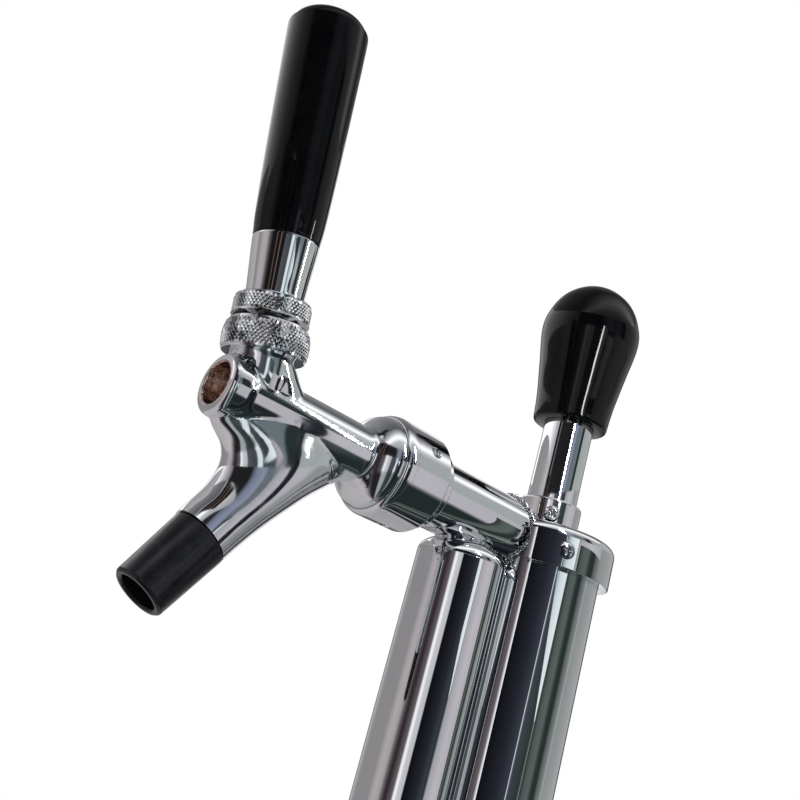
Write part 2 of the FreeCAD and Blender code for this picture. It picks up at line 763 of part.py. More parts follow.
def rod_bush():
    """Guide bush, pressed through the cap and shouldered under it."""
    radius = bush_od / 2
    shoulder_top = cylinder_top + cap_gasket_thickness - press
    foot = shoulder_top - bush_shoulder
    whole = turned([
        (rod_od / 2 + running, foot), (radius + 2.5, foot), (radius + 2.5, shoulder_top),
        (radius, shoulder_top), (radius, bush_top - bush_edge),
        (radius - bush_edge * (1 - math.sqrt(0.5)), bush_top - bush_edge * (1 - math.sqrt(0.5)),
         radius - bush_edge, bush_top),
        (rod_od / 2 + running, bush_top),
    ], on_pump(0))
    spot = screw_spot(radius - 1.2, bush_screw_angle, skirt_z + bush_screw_above_skirt)
    return whole.cut(rod(bush_screw_d + 2 * press, 6, spot, around(bush_screw_angle)))


def bush_screw():
    spot = screw_spot(bush_od / 2 - 1.2 + press, bush_screw_angle, skirt_z + bush_screw_above_skirt)
    screw = turned([
        (0, 0), (bush_screw_d / 2, 0), (bush_screw_d / 2, 3.4),
        (bush_screw_d / 2 - 0.5, 4.1, bush_screw_d / 2 - 1.2, 4.4), (1.3, 4.4), (1.3, 3.2), (0, 3.2),
    ])
    return placed(screw, spot, around(bush_screw_angle))


# Pump rod, knob and piston.

def pump_rod():
    foot = piston_foot + piston_stack()
    return ring(rod_od, rod_od - 2 * rod_wall, knob_foot + rod_in_knob - foot, on_pump(foot))


def piston_stack():
    """Height of nut, washer, cup and plate under the rod."""
    return piston_nut_height + piston_plate_thickness + cup_height + piston_plate_thickness


def rod_end_plug():
    foot = piston_foot + piston_stack()
    return turned([
        (0, piston_foot), (piston_bolt_d / 2 - 1, piston_foot), (piston_bolt_d / 2, piston_foot + 1),
        (piston_bolt_d / 2, foot), (rod_od / 2 - rod_wall - press, foot),
        (rod_od / 2 - rod_wall - press, foot + end_plug_in_rod), (0, foot + end_plug_in_rod),
    ], on_pump(0))


def piston_nut():
    base = on_pump(piston_foot)
    return hexagon(piston_nut_flats, piston_nut_height, base).cut(rod(piston_bolt_d + 2 * press, cutter, base))


def piston_washer():
    return ring(piston_washer_d, piston_bolt_d + 2 * press, piston_plate_thickness,
                on_pump(piston_foot + piston_nut_height))


def piston_cup():
    """Leather cup: flat between the plates, its lip turned down along the cylinder's wall."""
    low = piston_foot + piston_nut_height + piston_plate_thickness
    top = low + cup_height
    outer = cylinder_bore - running
    return turned([
        (piston_bolt_d / 2 + press, top - cup_wall), (outer - cup_wall - 1, top - cup_wall),
        (outer - cup_wall, top - cup_wall - 1), (outer - cup_wall, low - 1), (outer, low - 1.6), (outer, top - 2),
        (outer - 0.6, top - 0.6, outer - 2, top), (piston_bolt_d / 2 + press, top),
    ], on_pump(0))


def piston_spacer():
    """Boss that fills the cup between the washer and the cup's flat."""
    low = piston_foot + piston_nut_height + piston_plate_thickness
    return ring(piston_washer_d - 6, piston_bolt_d + 2 * press, cup_height - cup_wall, on_pump(low))


def piston_plate():
    low = piston_foot + piston_stack() - piston_plate_thickness
    return ring(piston_plate_d, piston_bolt_d + 2 * press, piston_plate_thickness, on_pump(low))


def knob_stud():
    low, shoulder = knob_foot - plug_in_rod, knob_foot + rod_in_knob
    plug = rod_od / 2 - rod_wall - press
    top = shoulder + stud_above_rod
    return turned([
        (0, low), (plug, low), (plug, shoulder), (stud_d / 2, shoulder), (stud_d / 2, top - 1),
        (stud_d / 2 - 1, top), (0, top),
    ], on_pump(0))


def pump_knob():
    foot, belly = knob_foot_d / 2, knob_belly_d / 2
    rise, crown = knob_belly_height, knob_length - knob_belly_height
    whole = turned([
        (0, 0), (foot - 1.2, 0), (foot - 0.35, 0.35, foot, 1.2),
        [(foot + 0.9, rise * 0.28), (belly * 0.888, rise * 0.62), (belly, rise),
         (belly * 0.937, rise + crown * 0.361), (belly * 0.746, rise + crown * 0.692),
         (belly * 0.444, rise + crown * 0.916), (0, knob_length)],
    ], on_pump(knob_foot))
    socket = rod(rod_od + 2 * press, rod_in_knob + press, on_pump(knob_foot))
    stud_hole = rod(stud_d + 2 * press, rod_in_knob + stud_above_rod + 1, on_pump(knob_foot))
    return whole.cut([socket, stud_hole])


# Relief valve.

def relief_point(distance):
    return Vector(relief_seat_x() + distance, relief_y, gas_channel_z)


def relief_body():
    thread = rod(relief_body_d - 3 - 2 * press, 8, relief_point(-8), RIGHT)
    collar = hexagon(relief_hex_flats - 2, relief_hex_length, relief_point(0), RIGHT)
    barrel = turned([
        (0, relief_hex_length - 1), (relief_body_d / 2 - 1, relief_hex_length - 1),
        (relief_body_d / 2 - 1, relief_length - 1), (relief_body_d / 2 - 2, relief_length), (0, relief_length),
    ], relief_point(0), RIGHT)
    whole = thread.fuse([collar, barrel])
    room = rod(relief_head_d + 0.4, relief_length + 6 - 2.5, relief_point(-6), RIGHT)
    air_way = rod(gas_channel_d, 10, relief_point(-9), RIGHT)
    guide = rod(relief_pin_d + 2 * running, relief_length + 2, relief_point(0), RIGHT)
    vents = rod(2.0, 2 * relief_body_d, relief_point(relief_hex_length + 2) - UP * relief_body_d)
    return whole.cut([room, air_way, guide, vents]).removeSplitter()


def relief_pin():
    """Pin with its sealing head inside and an eyed end outside."""
    eye_at = relief_length + relief_eye_ahead
    head = turned([
        (0, -4.6), (relief_head_d / 2, -4.6), (relief_head_d / 2, -2.2), (relief_pin_d / 2, -2.2),
        (relief_pin_d / 2, eye_at - 3.4), (relief_pin_d / 2 + 0.9, eye_at - 2.5),
        (relief_pin_d / 2 + 0.9, eye_at + 2.5), (relief_pin_d / 2, eye_at + 3.5), (0, eye_at + 3.5),
    ], relief_point(0), RIGHT)
    across = Vector(0, relief_pin_d, 0)
    eye = rod(relief_wire_d + 1.0, 2 * relief_pin_d, relief_point(eye_at) - across, across)
    return head.cut(eye)


def relief_seal():
    seat = -6.0 + press
    return turned([
        (gas_channel_d / 2 + 0.3, seat), (relief_head_d / 2, seat), (relief_head_d / 2, -4.6 - press),
        (gas_channel_d / 2 + 0.3, -4.6 - press),
    ], relief_point(0), RIGHT)


def relief_spring():
    """Coil between the pin's head and the body's end, as closed wire rings."""
    first, last = -2.2 + spring_wire_d * 0.6, relief_length - 2.5 - spring_wire_d * 0.6
    radius = relief_pin_d / 2 + spring_wire_d / 2 + 0.3
    helix = Part.makeHelix((last - first) / spring_turns, last - first, radius)
    start = helix.Edges[0].valueAt(helix.Edges[0].FirstParameter)
    section = Part.Wire(Part.makeCircle(spring_wire_d / 2, start, Vector(0, 1, 0)))
    coil = Part.Wire(helix.Edges).makePipeShell([section], True, True)
    coil.Placement = Placement(relief_point(first), Rotation(UP, RIGHT))
    return coil


def relief_ring_centre():
    return relief_point(relief_length + relief_eye_ahead) - UP * (relief_ring_d / 2 - relief_wire_d / 2 - 0.4)


def relief_ring():
    return seal_ring(relief_ring_d / 2 - relief_wire_d / 2, relief_wire_d, relief_ring_centre(), RIGHT)


# Shank, coupling nut and faucet body.

def faucet_shank():
    outer = turned([
        (0, arm_reach - shank_plug_length), (arm_bore - press, arm_reach - shank_plug_length),
        (arm_bore - press, arm_reach), (shank_ring_od / 2 - 0.8, arm_reach),
        (shank_ring_od / 2, arm_reach + 0.8), (shank_ring_od / 2, ring_front - 0.8),
        (shank_ring_od / 2 - 0.8, ring_front), (shank_neck_od / 2, ring_front), (shank_neck_od / 2, flange_back),
        (faucet_thread_od / 2, flange_back), (faucet_thread_od / 2, flange_front), (0, flange_front),
    ], Vector(0, 0, arm_z), AHEAD)
    bore = rod(beer_tube_od + 2 * press, arm_reach - 2, Vector(0, 0, arm_z), AHEAD)
    way = rod(beer_tube_od - 2 * beer_tube_wall, 2 * flange_front, Vector(0, 0, arm_z), AHEAD)
    return outer.cut([bore, way])


def coupling_nut():
    thread_bore = faucet_thread_od / 2 + press
    whole = turned([
        (shank_neck_od / 2 + 0.15, nut_back), (nut_od / 2 - 0.8, nut_back), (nut_od / 2, nut_back + 0.8),
        (nut_od / 2, nut_front - nut_edge),
        (nut_od / 2 - nut_edge * (1 - math.sqrt(0.5)) * 0.6, nut_front - nut_edge * (1 - math.sqrt(0.5)),
         bell_od / 2 + 0.2, nut_front),
        (thread_bore, nut_front - 1.0), (thread_bore, nut_back + nut_back_wall),
        (shank_neck_od / 2 + 0.15, nut_back + nut_back_wall),
    ], Vector(0, 0, arm_z), AHEAD)
    holes = []
    for angle in (62, 182, 302):
        turn = math.radians(angle)
        outward = Vector(math.sin(turn), 0, math.cos(turn))
        spot = ahead((nut_back + nut_front) / 2 - 2.5, 0) + outward * (nut_od / 2 - 2.2)
        holes.append(rod(nut_spanner_hole_d, 5, spot, outward))
    return whole.cut(holes)


def coupling_gasket():
    return ring(faucet_thread_od - 1.2, beer_tube_od + 1, gasket_thickness - press,
                ahead(flange_front, 0), AHEAD)


def spout_sections():
    """Level ovals down the spout: the barrel's underside flows forward and back into it.
    Each row has shares: the oval's height of the spout's drop, its ends of the reach back from
    the mouth, and its half width of the spout's. The last three lie square to its slope."""
    half = spout_end_d / 2
    slant = half / math.cos(spout_angle)
    run = spout_drop * math.tan(spout_angle)
    rows = [
        (-0.022, 0.764, 0.074, 0.94), (0.133, 0.804, 0.030, 0.99), (0.244, 0.813, 0.050, 1.04),
        (0.355, 0.733, 0.142, 1.08), (0.488, 0.638, 0.172, 1.09), (0.665, 0.531, 0.139, 1.07),
    ]
    ovals = [(drop, rear * faucet_reach, front * faucet_reach, width) for drop, rear, front, width in rows]
    for drop, width in ((0.823, 1.04), (1.0, 1.0), (1.333, 0.98)):
        middle = spout_back + (1 - drop) * run
        swell = slant * (1.07 if drop < 1 else 1)
        ovals.append((drop, middle + swell, middle - swell, width))
    return [
        oval_face(ahead(mouth - (rear + front) / 2, -drop * spout_drop), (rear - front) / 2, width * half)
        for drop, rear, front, width in ovals
    ]


def spout_end_point():
    return ahead(mouth - spout_back, -spout_drop)


def spout():
    """Tapering curved spout, cut square at the end where the nozzle starts."""
    beyond = block((-cutter_half, cutter_half), (-cutter_half, cutter_half), (0, cutter))
    beyond.Placement = Placement(spout_end_point(), Rotation(UP, SPOUT))
    return Part.makeLoft(spout_sections(), True, False).cut(beyond)


def neck_flare():
    """Level ovals that spread the neck's foot back along the barrel. Each row has the height as
    a share of the ball's, then reach behind, reach before and half width as shares of the neck."""
    rows = [(0.103, 2.02, 0.825, 0.893), (0.361, 1.75, 0.932, 0.942), (0.515, 1.46, 1.029, 0.981),
            (0.722, 1.16, 1.068, 0.99)]
    half = neck_od / 2
    wires = []
    for share, behind, before, width in rows:
        rise = share * ball_above_barrel
        centre = ahead(neck_foot + rise * math.tan(lean) + (before - behind) / 2 * half, rise)
        wires.append(oval_face(centre, (behind + before) / 2 * half, width * half))
    above = rod(cutter, cutter, along_neck(bonnet_foot - 0.4), NECK)
    return Part.makeLoft(wires, True, False).cut(above)


def faucet_body():
    """Cast body: bell and barrel along the arm's axis, the leaning neck and the curved spout."""
    bell_back = nut_front
    squash = bell_length
    bell = []
    steep = math.acos(barrel_od / bell_od)
    for share in (0.35, 0.7, 1.0):
        angle = steep * share
        bell.append((bell_od / 2 * math.cos(angle), bell_back + squash * math.sin(angle)))
    barrel = turned([
        (0, faucet_back), (faucet_thread_od / 2 - 0.8, faucet_back), (faucet_thread_od / 2, faucet_back + 0.8),
        (faucet_thread_od / 2, bell_back - 0.6), (bell_od / 2, bell_back), bell,
        (barrel_od / 2, mouth - mouth_length), (mouth_od / 2, mouth - mouth_length + 2.5),
        (mouth_od / 2, mouth - mouth_edge),
        (mouth_od / 2 - mouth_edge * (1 - math.sqrt(0.5)), mouth - mouth_edge * (1 - math.sqrt(0.5)),
         mouth_od / 2 - mouth_edge, mouth),
        (0, mouth),
    ], Vector(0, 0, arm_z), AHEAD)
    neck = turned([
        (0, -ball_above_barrel), (neck_od / 2 - 1.2, -ball_above_barrel), (neck_od / 2, -12),
        (neck_od / 2, bonnet_foot - 0.4), (neck_od / 2 - 0.3, bonnet_foot - 0.1),
        (neck_od / 2 - 0.3, -0.9), (0, -0.9),
    ], BALL, NECK)
    spigot = rod(spout_spigot_d, spout_spigot_length + 4, spout_end_point() - SPOUT * 4, SPOUT)
    solid = barrel
    for lump in (neck, neck_flare(), spout(), spigot):
        solid = solid.fuse(lump)
    for way in faucet_ways():
        solid = solid.cut(way)
    return solid


def lever_room():
    """Fan-shaped slot that the lever's lower arm swings in, from the neck into the barrel."""
    swing = math.radians(lever_swing)
    half = lever_arm_d / 2 + 0.7
    reach = lever_arm + 1
    corners = [(half + 0.4, -3), (half + 0.4, -reach), (-reach * math.sin(swing) - half, -reach * math.cos(swing)),
               (-3 * math.sin(swing) - half - 0.6, -3)]
    forward = Vector(0, -math.cos(lean), -math.sin(lean))
    points = [BALL + forward * f + NECK * t + RIGHT * -half for f, t in corners]
    return Part.Face(Part.makePolygon(points + [points[0]])).extrude(RIGHT * (2 * half))


def spout_way():
    """Curved passage from the barrel's underside to the spout's straight bore. Each row has the
    drop and the distance back from the mouth, as shares of the spout's drop and the reach."""
    rows = [(0.067, 0.527), (0.244, 0.482), (0.355, 0.442), (0.488, 0.399), (0.665, 0.332)]
    spots = [(drop * spout_drop, back * faucet_reach) for drop, back in rows]
    join = 0.823 * spout_drop
    spots.append((join, spout_back + (spout_drop - join) * math.tan(spout_angle)))
    half = spout_bore_d / 2 - 0.6
    wires = [oval_face(ahead(mouth - back, -drop), half / math.cos(spout_angle), half) for drop, back in spots]
    return Part.makeLoft(wires, True, False)


def faucet_ways():
    """Everything cut out of the body: mouth, barrel, seat, spout, neck and vents."""
    bore = turned([
        (0, mouth + mouth_chamfer), (mouth_bore_d / 2 + mouth_chamfer, mouth + mouth_chamfer),
        (mouth_bore_d / 2 + mouth_chamfer, mouth), (mouth_bore_d / 2, mouth - mouth_chamfer),
        (mouth_bore_d / 2, shaft_front() + apart), (guide_bore_d / 2, shaft_front() + apart),
        (guide_bore_d / 2, seat_face + seat_thickness), (0, seat_face + seat_thickness),
    ], Vector(0, 0, arm_z), AHEAD)
    seat_hole = rod(seat_hole_d, seat_thickness + 2, ahead(seat_face - 1, 0), AHEAD)
    chamber = rod(chamber_d, seat_face - faucet_back, ahead(faucet_back, 0), AHEAD)
    outlet = rod(spout_bore_d, cutter, spout_end_point() - SPOUT * 6, SPOUT)
    washer_seat = rod(2 * washer_radius() + 2 * press, 8, along_neck(-4.3), NECK)
    throat = rod(2 * ball_gap_radius(4.3), lever_arm, along_neck(-lever_arm + 3), NECK)
    inside = ahead(neck_foot + vent_height * math.tan(lean), vent_height)
    turns = (math.radians(vent_turn), -math.radians(vent_turn))
    vents = [rod(vent_hole_d, neck_od, inside, Vector(math.sin(turn), -math.cos(turn), 0)) for turn in turns]
    return [bore, seat_hole, chamber, spout_way(), outlet, washer_seat, throat, lever_room()] + vents


def spout_tip():
    """Black nozzle, pushed over the chromed spout's end."""
    whole = turned([
        (spout_bore_d / 2, spout_spigot_length + 0.5), (spout_spigot_d / 2 + press, spout_spigot_length + 0.5),
        (spout_spigot_d / 2 + press, press), (spout_end_d / 2 - 0.6, press), (spout_end_d / 2, 0.6),
        (spout_tip_end_d / 2, spout_tip_length - 0.8), (spout_tip_end_d / 2 - 0.8, spout_tip_length),
        (spout_bore_d / 2 + 0.6, spout_tip_length), (spout_bore_d / 2, spout_tip_length - 0.6),
    ], spout_end_point(), SPOUT)
    return whole


# Lever and what it moves.

def washer_radius():
    return neck_od / 2 - 1.8


def ball_gap_radius(height):
    """Radius of a seat round the ball at a height from its centre, with a running gap."""
    return math.sqrt((ball_d / 2 + ball_gap) ** 2 - height ** 2)


def ball_washer():
    return turned([
        (ball_gap_radius(4.2), -4.25), (washer_radius(), -4.25), (washer_radius(), -2.4),
        (ball_gap_radius(2.4), -2.4),
    ], BALL, NECK)


def friction_washer():
    return turned([
        (ball_gap_radius(1.6), 1.6), (neck_od / 2 - 0.4, 1.6), (neck_od / 2 - 0.4, 3.4),
        (ball_gap_radius(3.4), 3.4),
    ], BALL, NECK)


def bonnet():
    """Knurled nut over the ball. Its upper part lies on a sphere about the ball's centre."""
    radius, foot_r = bonnet_d / 2, bonnet_foot_d / 2
    top_r = math.sqrt(radius ** 2 - bonnet_top ** 2)
    middle_r = math.sqrt(radius ** 2 - bonnet_top ** 2 / 4)
    thread = neck_od / 2 - 0.3 + press
    return turned([
        (thread, bonnet_foot), (foot_r - 0.4, bonnet_foot), (foot_r, bonnet_foot + 0.4),
        (radius, 0), (middle_r, bonnet_top / 2, top_r, bonnet_top), (8.2, bonnet_top), (6.9, 3.45), (neck_od / 2 - 0.3, 3.45), (thread, 3.4),
    ], BALL, NECK)


def faucet_lever():
    """Turned lever: thread, neck, ball and the arm that works the valve."""
    arm, neck = lever_arm_d / 2, lever_neck_d / 2
    ball = ball_d / 2
    arm_meets = math.sqrt(ball ** 2 - arm ** 2)
    neck_meets = math.sqrt(ball ** 2 - neck ** 2)
    tip = lever_tip_d / 2
    web = lever_collar_top - lever_collar_web
    top = lever_collar_top + 18
    return turned([
        (0, -lever_arm - tip), (tip, -lever_arm, tip * 0.8, -lever_arm + tip * 0.6),
        (arm, -lever_arm + 5), (arm, -arm_meets), (ball, 0, neck, neck_meets), (neck, web - 0.5),
        (lever_thread_d / 2, web), (lever_thread_d / 2, top - 1), (lever_thread_d / 2 - 1, top), (0, top),
    ], BALL, NECK)


def lever_collar():
    """Knurled collar, hollow underneath so that it rides over the bonnet as the lever swings."""
    radius = lever_collar_d / 2
    hollow = bonnet_d / 2 + apart
    web = lever_collar_top - lever_collar_web
    rim_r = math.sqrt(hollow ** 2 - lever_collar_foot ** 2)
    roof_r = math.sqrt(hollow ** 2 - web ** 2)
    middle = (lever_collar_foot + web) / 2
    return turned([
        (rim_r, lever_collar_foot), (radius, lever_collar_foot), (radius, lever_collar_top - 0.6),
        (radius - 0.6, lever_collar_top), (lever_thread_d / 2 + press, lever_collar_top),
        (lever_thread_d / 2 + press, web), (roof_r, web),
        (math.sqrt(hollow ** 2 - middle ** 2), middle, rim_r, lever_collar_foot),
    ], BALL, NECK)


def handle_ferrule():
    low, high = lever_collar_top + press, lever_collar_top + ferrule_length
    bore = handle_insert_d / 2 + press
    return turned([
        (bore, low), (ferrule_foot_d / 2 - 0.8, low), (ferrule_foot_d / 2, low + 0.8),
        [(ferrule_foot_d / 2 + 0.45, low + 7), (ferrule_foot_d / 2 + 1.15, low + 15), (ferrule_top_d / 2, high)],
        (bore, high),
    ], BALL, NECK)


def handle_insert():
    low, high = lever_collar_top + press, lever_collar_top + ferrule_length + 16
    return ring(handle_insert_d, lever_thread_d + 2 * press, high - low, along_neck(low), NECK)


def tap_handle():
    low = lever_collar_top + ferrule_length + press
    top = low + handle_length
    foot, middle, head = ferrule_top_d / 2, handle_middle_d / 2, handle_head_d / 2
    whole = turned([
        (0, low), (foot, low),
        [(foot + 0.75, low + handle_length * 0.117), (middle, low + handle_length * 0.411),
         (head, low + handle_length * 0.88),
         (head - 0.5, low + handle_length * 0.935), (head - 2.9, top - 2.1), (head - 7.2, top - 0.5), (0, top)],
    ], BALL, NECK)
    socket = rod(handle_insert_d + 2 * press, 17, along_neck(low), NECK)
    return whole.cut(socket)


def lever_tip_ahead():
    return -(BALL - NECK * lever_arm).y


def shaft_front():
    return lever_tip_ahead() + shaft_collar_ahead


def valve_shaft():
    """Brass shaft: a slotted collar in the barrel's bore and a thin stem back through the seat."""
    centre, front = lever_tip_ahead(), shaft_front()
    back = front - shaft_collar_length
    collar = guide_bore_d / 2 - shaft_gap
    end = seat_face - seat_washer_thickness - shaft_nut_height - 1.5
    whole = turned([
        (0, end), (shaft_d / 2 - 0.5, end), (shaft_d / 2, end + 0.5), (shaft_d / 2, back),
        (collar, back), (collar, front - 1), (collar - 1, front),
        (2.2, front), (1.0, front - 1.2), (0, front - 1.2),
    ], Vector(0, 0, arm_z), AHEAD)
    half = lever_arm_d / 2 + slot_gap
    slot_foot = lever_tip_d / 2 + slot_gap
    corners = [(-slot_foot, -3.6), (slot_foot, -3.6), (slot_foot + 3.7, 8), (-slot_foot - 0.1, 8)]
    points = [ahead(centre + f, z) - RIGHT * half for f, z in corners]
    slot = Part.Face(Part.makePolygon(points + [points[0]])).extrude(RIGHT * (2 * half))
    return whole.cut(slot)


def seat_washer():
    return ring(seat_washer_d, shaft_d + 2 * press, seat_washer_thickness,
                ahead(seat_face - seat_washer_thickness - press, 0), AHEAD)


def shaft_nut():
    low = seat_face - seat_washer_thickness - shaft_nut_height - 2 * press
    nut = hexagon(shaft_nut_flats + 2, shaft_nut_height, ahead(low, 0), AHEAD)
    return nut.cut(rod(shaft_d + 2 * press, 20, ahead(low - 5, 0), AHEAD))


pieces = {
    "lug_base": lug_base,
    "neck_seal": neck_seal,
    "snap_ring": snap_ring,
    "wing_collar": wing_collar,
    "manifold": manifold,
    "stem_seals": stem_seals,
    "cylinder_seal": cylinder_seal,
    "probe": probe,
    "probe_seal": probe_seal,
    "check_ball": check_ball,
    "column_tube": column_tube,
    "column_cap": column_cap,
    "seam_solder": seam_solder,
    "arm_tube": arm_tube,
    "arm_welds": arm_welds,
    "beer_tube": beer_tube,
    "pump_cylinder": pump_cylinder,
    "check_valve": check_valve,
    "valve_retainer": valve_retainer,
    "cap_gasket": cap_gasket,
    "pump_cap": pump_cap,
    "cap_screws": cap_screws,
    "rod_bush": rod_bush,
    "bush_screw": bush_screw,
    "pump_rod": pump_rod,
    "rod_end_plug": rod_end_plug,
    "piston_nut": piston_nut,
    "piston_washer": piston_washer,
    "piston_cup": piston_cup,
    "piston_spacer": piston_spacer,
    "piston_plate": piston_plate,
    "knob_stud": knob_stud,
    "pump_knob": pump_knob,
    "relief_body": relief_body,
    "relief_pin": relief_pin,
    "relief_seal": relief_seal,
    "relief_spring": relief_spring,
    "relief_ring": relief_ring,
    "faucet_shank": faucet_shank,
    "coupling_nut": coupling_nut,
    "coupling_gasket": coupling_gasket,
    "faucet_body": faucet_body,
    "spout_tip": spout_tip,
    "ball_washer": ball_washer,
    "friction_washer": friction_washer,
    "bonnet": bonnet,
    "faucet_lever": faucet_lever,
    "lever_collar": lever_collar,
    "handle_ferrule": handle_ferrule,
    "handle_insert": handle_insert,
    "tap_handle": tap_handle,
    "valve_shaft": valve_shaft,
    "seat_washer": seat_washer,
    "shaft_nut": shaft_nut,
}

os.makedirs("parts", exist_ok=True)
for name, make in pieces.items():
    shape = make()
    shape.exportStep(os.path.join("parts", name + ".step"))
    print(name, "solids", len(shape.Solids), "volume", round(shape.Volume, 1), "valid", shape.isValid())
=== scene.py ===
import math

import bpy
from mathutils import Matrix, Vector, noise


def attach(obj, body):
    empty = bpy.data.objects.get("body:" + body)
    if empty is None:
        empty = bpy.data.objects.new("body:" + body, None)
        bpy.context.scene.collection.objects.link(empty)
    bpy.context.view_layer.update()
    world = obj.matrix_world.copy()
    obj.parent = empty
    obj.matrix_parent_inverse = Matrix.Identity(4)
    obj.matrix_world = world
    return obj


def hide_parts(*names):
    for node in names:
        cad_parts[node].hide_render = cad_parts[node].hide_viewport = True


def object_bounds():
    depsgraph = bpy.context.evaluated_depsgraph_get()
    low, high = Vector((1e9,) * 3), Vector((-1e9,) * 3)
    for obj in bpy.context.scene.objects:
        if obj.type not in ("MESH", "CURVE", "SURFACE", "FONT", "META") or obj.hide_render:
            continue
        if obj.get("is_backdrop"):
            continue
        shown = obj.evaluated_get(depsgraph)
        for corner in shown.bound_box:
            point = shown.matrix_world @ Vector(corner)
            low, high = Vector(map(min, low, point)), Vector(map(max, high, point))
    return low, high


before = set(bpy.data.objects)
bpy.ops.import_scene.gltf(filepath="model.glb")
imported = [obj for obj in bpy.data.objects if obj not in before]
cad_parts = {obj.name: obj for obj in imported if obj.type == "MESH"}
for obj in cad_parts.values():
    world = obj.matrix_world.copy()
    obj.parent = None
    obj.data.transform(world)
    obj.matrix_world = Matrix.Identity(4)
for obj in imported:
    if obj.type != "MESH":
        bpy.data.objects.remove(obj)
low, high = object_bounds()
cad_box = [list(low), list(high)]


# Camera. It looks up at the pump's top from the right of the faucet, and is rolled a little,
# as the photograph is. Its place was found from the outlines of the tubes, cap and handle.
MM = 0.001
camera_turn, camera_rise, camera_roll = math.radians(50.89), math.radians(-17.63), math.radians(16.32)
backward = Vector((
    math.sin(camera_turn) * math.cos(camera_rise),
    -math.cos(camera_turn) * math.cos(camera_rise),
    math.sin(camera_rise),
))
level = Vector((math.cos(camera_turn), math.sin(camera_turn), 0))
over = backward.cross(level)
camera_right = level * math.cos(camera_roll) + over * math.sin(camera_roll)
camera_up = over * math.cos(camera_roll) - level * math.sin(camera_roll)
camera = bpy.data.objects.new("camera", bpy.data.cameras.new("camera"))
camera.data.lens = 43.8
camera.data.sensor_width = 36
camera.data.clip_start = 0.01
camera.matrix_world = Matrix((camera_right, camera_up, backward)).transposed().to_4x4()
camera.matrix_world.translation = Vector((255.8, -257.7, 178.65)) * MM
bpy.context.scene.collection.objects.link(camera)
bpy.context.scene.camera = camera
bpy.context.scene.view_settings.view_transform = "Standard"


# Studio. A pale floor that fades into a white surround, soft boxes, and dark and tinted cards
# round the pump. Only polished metal and gloss show the cards, as in a product photograph.
world = bpy.data.worlds.new("surround")
bpy.context.scene.world = world
world.use_nodes = True
nodes, links = world.node_tree.nodes, world.node_tree.links
nodes.clear()
output = nodes.new("ShaderNodeOutputWorld")
ambient = nodes.new("ShaderNodeBackground")
ambient.inputs["Color"].default_value = (0.92, 0.95, 1.0, 1)
ambient.inputs["Strength"].default_value = 0.55
white = nodes.new("ShaderNodeBackground")
white.inputs["Color"].default_value = (1, 1, 1, 1)
path = nodes.new("ShaderNodeLightPath")
seen = nodes.new("ShaderNodeMath")
seen.operation = "MAXIMUM"
seen_through = nodes.new("ShaderNodeMath")
seen_through.operation = "MAXIMUM"
either = nodes.new("ShaderNodeMixShader")
links.new(path.outputs["Is Camera Ray"], seen.inputs[0])
links.new(path.outputs["Is Glossy Ray"], seen.inputs[1])
links.new(seen.outputs[0], seen_through.inputs[0])
links.new(path.outputs["Is Transmission Ray"], seen_through.inputs[1])
links.new(seen_through.outputs[0], either.inputs[0])
links.new(ambient.outputs[0], either.inputs[1])
links.new(white.outputs[0], either.inputs[2])
links.new(either.outputs[0], output.inputs[0])


def nothing_selected():
    """Leave edit mode, deselect all objects, and set edit mode to pick by points next time"""
    if bpy.context.object and bpy.context.object.mode != "OBJECT":
        bpy.ops.object.mode_set(mode="OBJECT")
    bpy.ops.object.select_all(action="DESELECT")
    bpy.context.tool_settings.mesh_select_mode = (True, False, False)


nothing_selected()
bpy.ops.mesh.primitive_circle_add(vertices=96, radius=4, fill_type="NGON",
                                  location=(0, 0, cad_box[0][2] - 0.0005))
floor = bpy.context.object
floor.name = "floor"
floor_paint = bpy.data.materials.new("floor_paint")
floor.data.materials.append(floor_paint)
floor_paint.use_nodes = True
nodes, links = floor_paint.node_tree.nodes, floor_paint.node_tree.links
nodes.clear()
output = nodes.new("ShaderNodeOutputMaterial")
paint = nodes.new("ShaderNodeBsdfDiffuse")
paint.inputs["Color"].default_value = (0.88, 0.88, 0.87, 1)
glow = nodes.new("ShaderNodeEmission")
place = nodes.new("ShaderNodeTexCoord")
reach = nodes.new("ShaderNodeVectorMath")
reach.operation = "LENGTH"
fade = nodes.new("ShaderNodeMapRange")
fade.inputs["From Min"].default_value = 0.25
fade.inputs["From Max"].default_value = 0.75
path = nodes.new("ShaderNodeLightPath")
seen_far = nodes.new("ShaderNodeMath")
seen_far.operation = "MULTIPLY"
either = nodes.new("ShaderNodeMixShader")
facing = nodes.new("ShaderNodeNewGeometry")
clear = nodes.new("ShaderNodeBsdfTransparent")
above = nodes.new("ShaderNodeMixShader")
links.new(place.outputs["Object"], reach.inputs[0])
links.new(reach.outputs["Value"], fade.inputs["Value"])
links.new(fade.outputs["Result"], seen_far.inputs[0])
links.new(path.outputs["Is Camera Ray"], seen_far.inputs[1])
links.new(seen_far.outputs[0], either.inputs[0])
links.new(paint.outputs[0], either.inputs[1])
links.new(glow.outputs[0], either.inputs[2])
links.new(facing.outputs["Backfacing"], above.inputs[0])
links.new(either.outputs[0], above.inputs[1])
links.new(clear.outputs[0], above.inputs[2])
links.new(above.outputs[0], output.inputs[0])
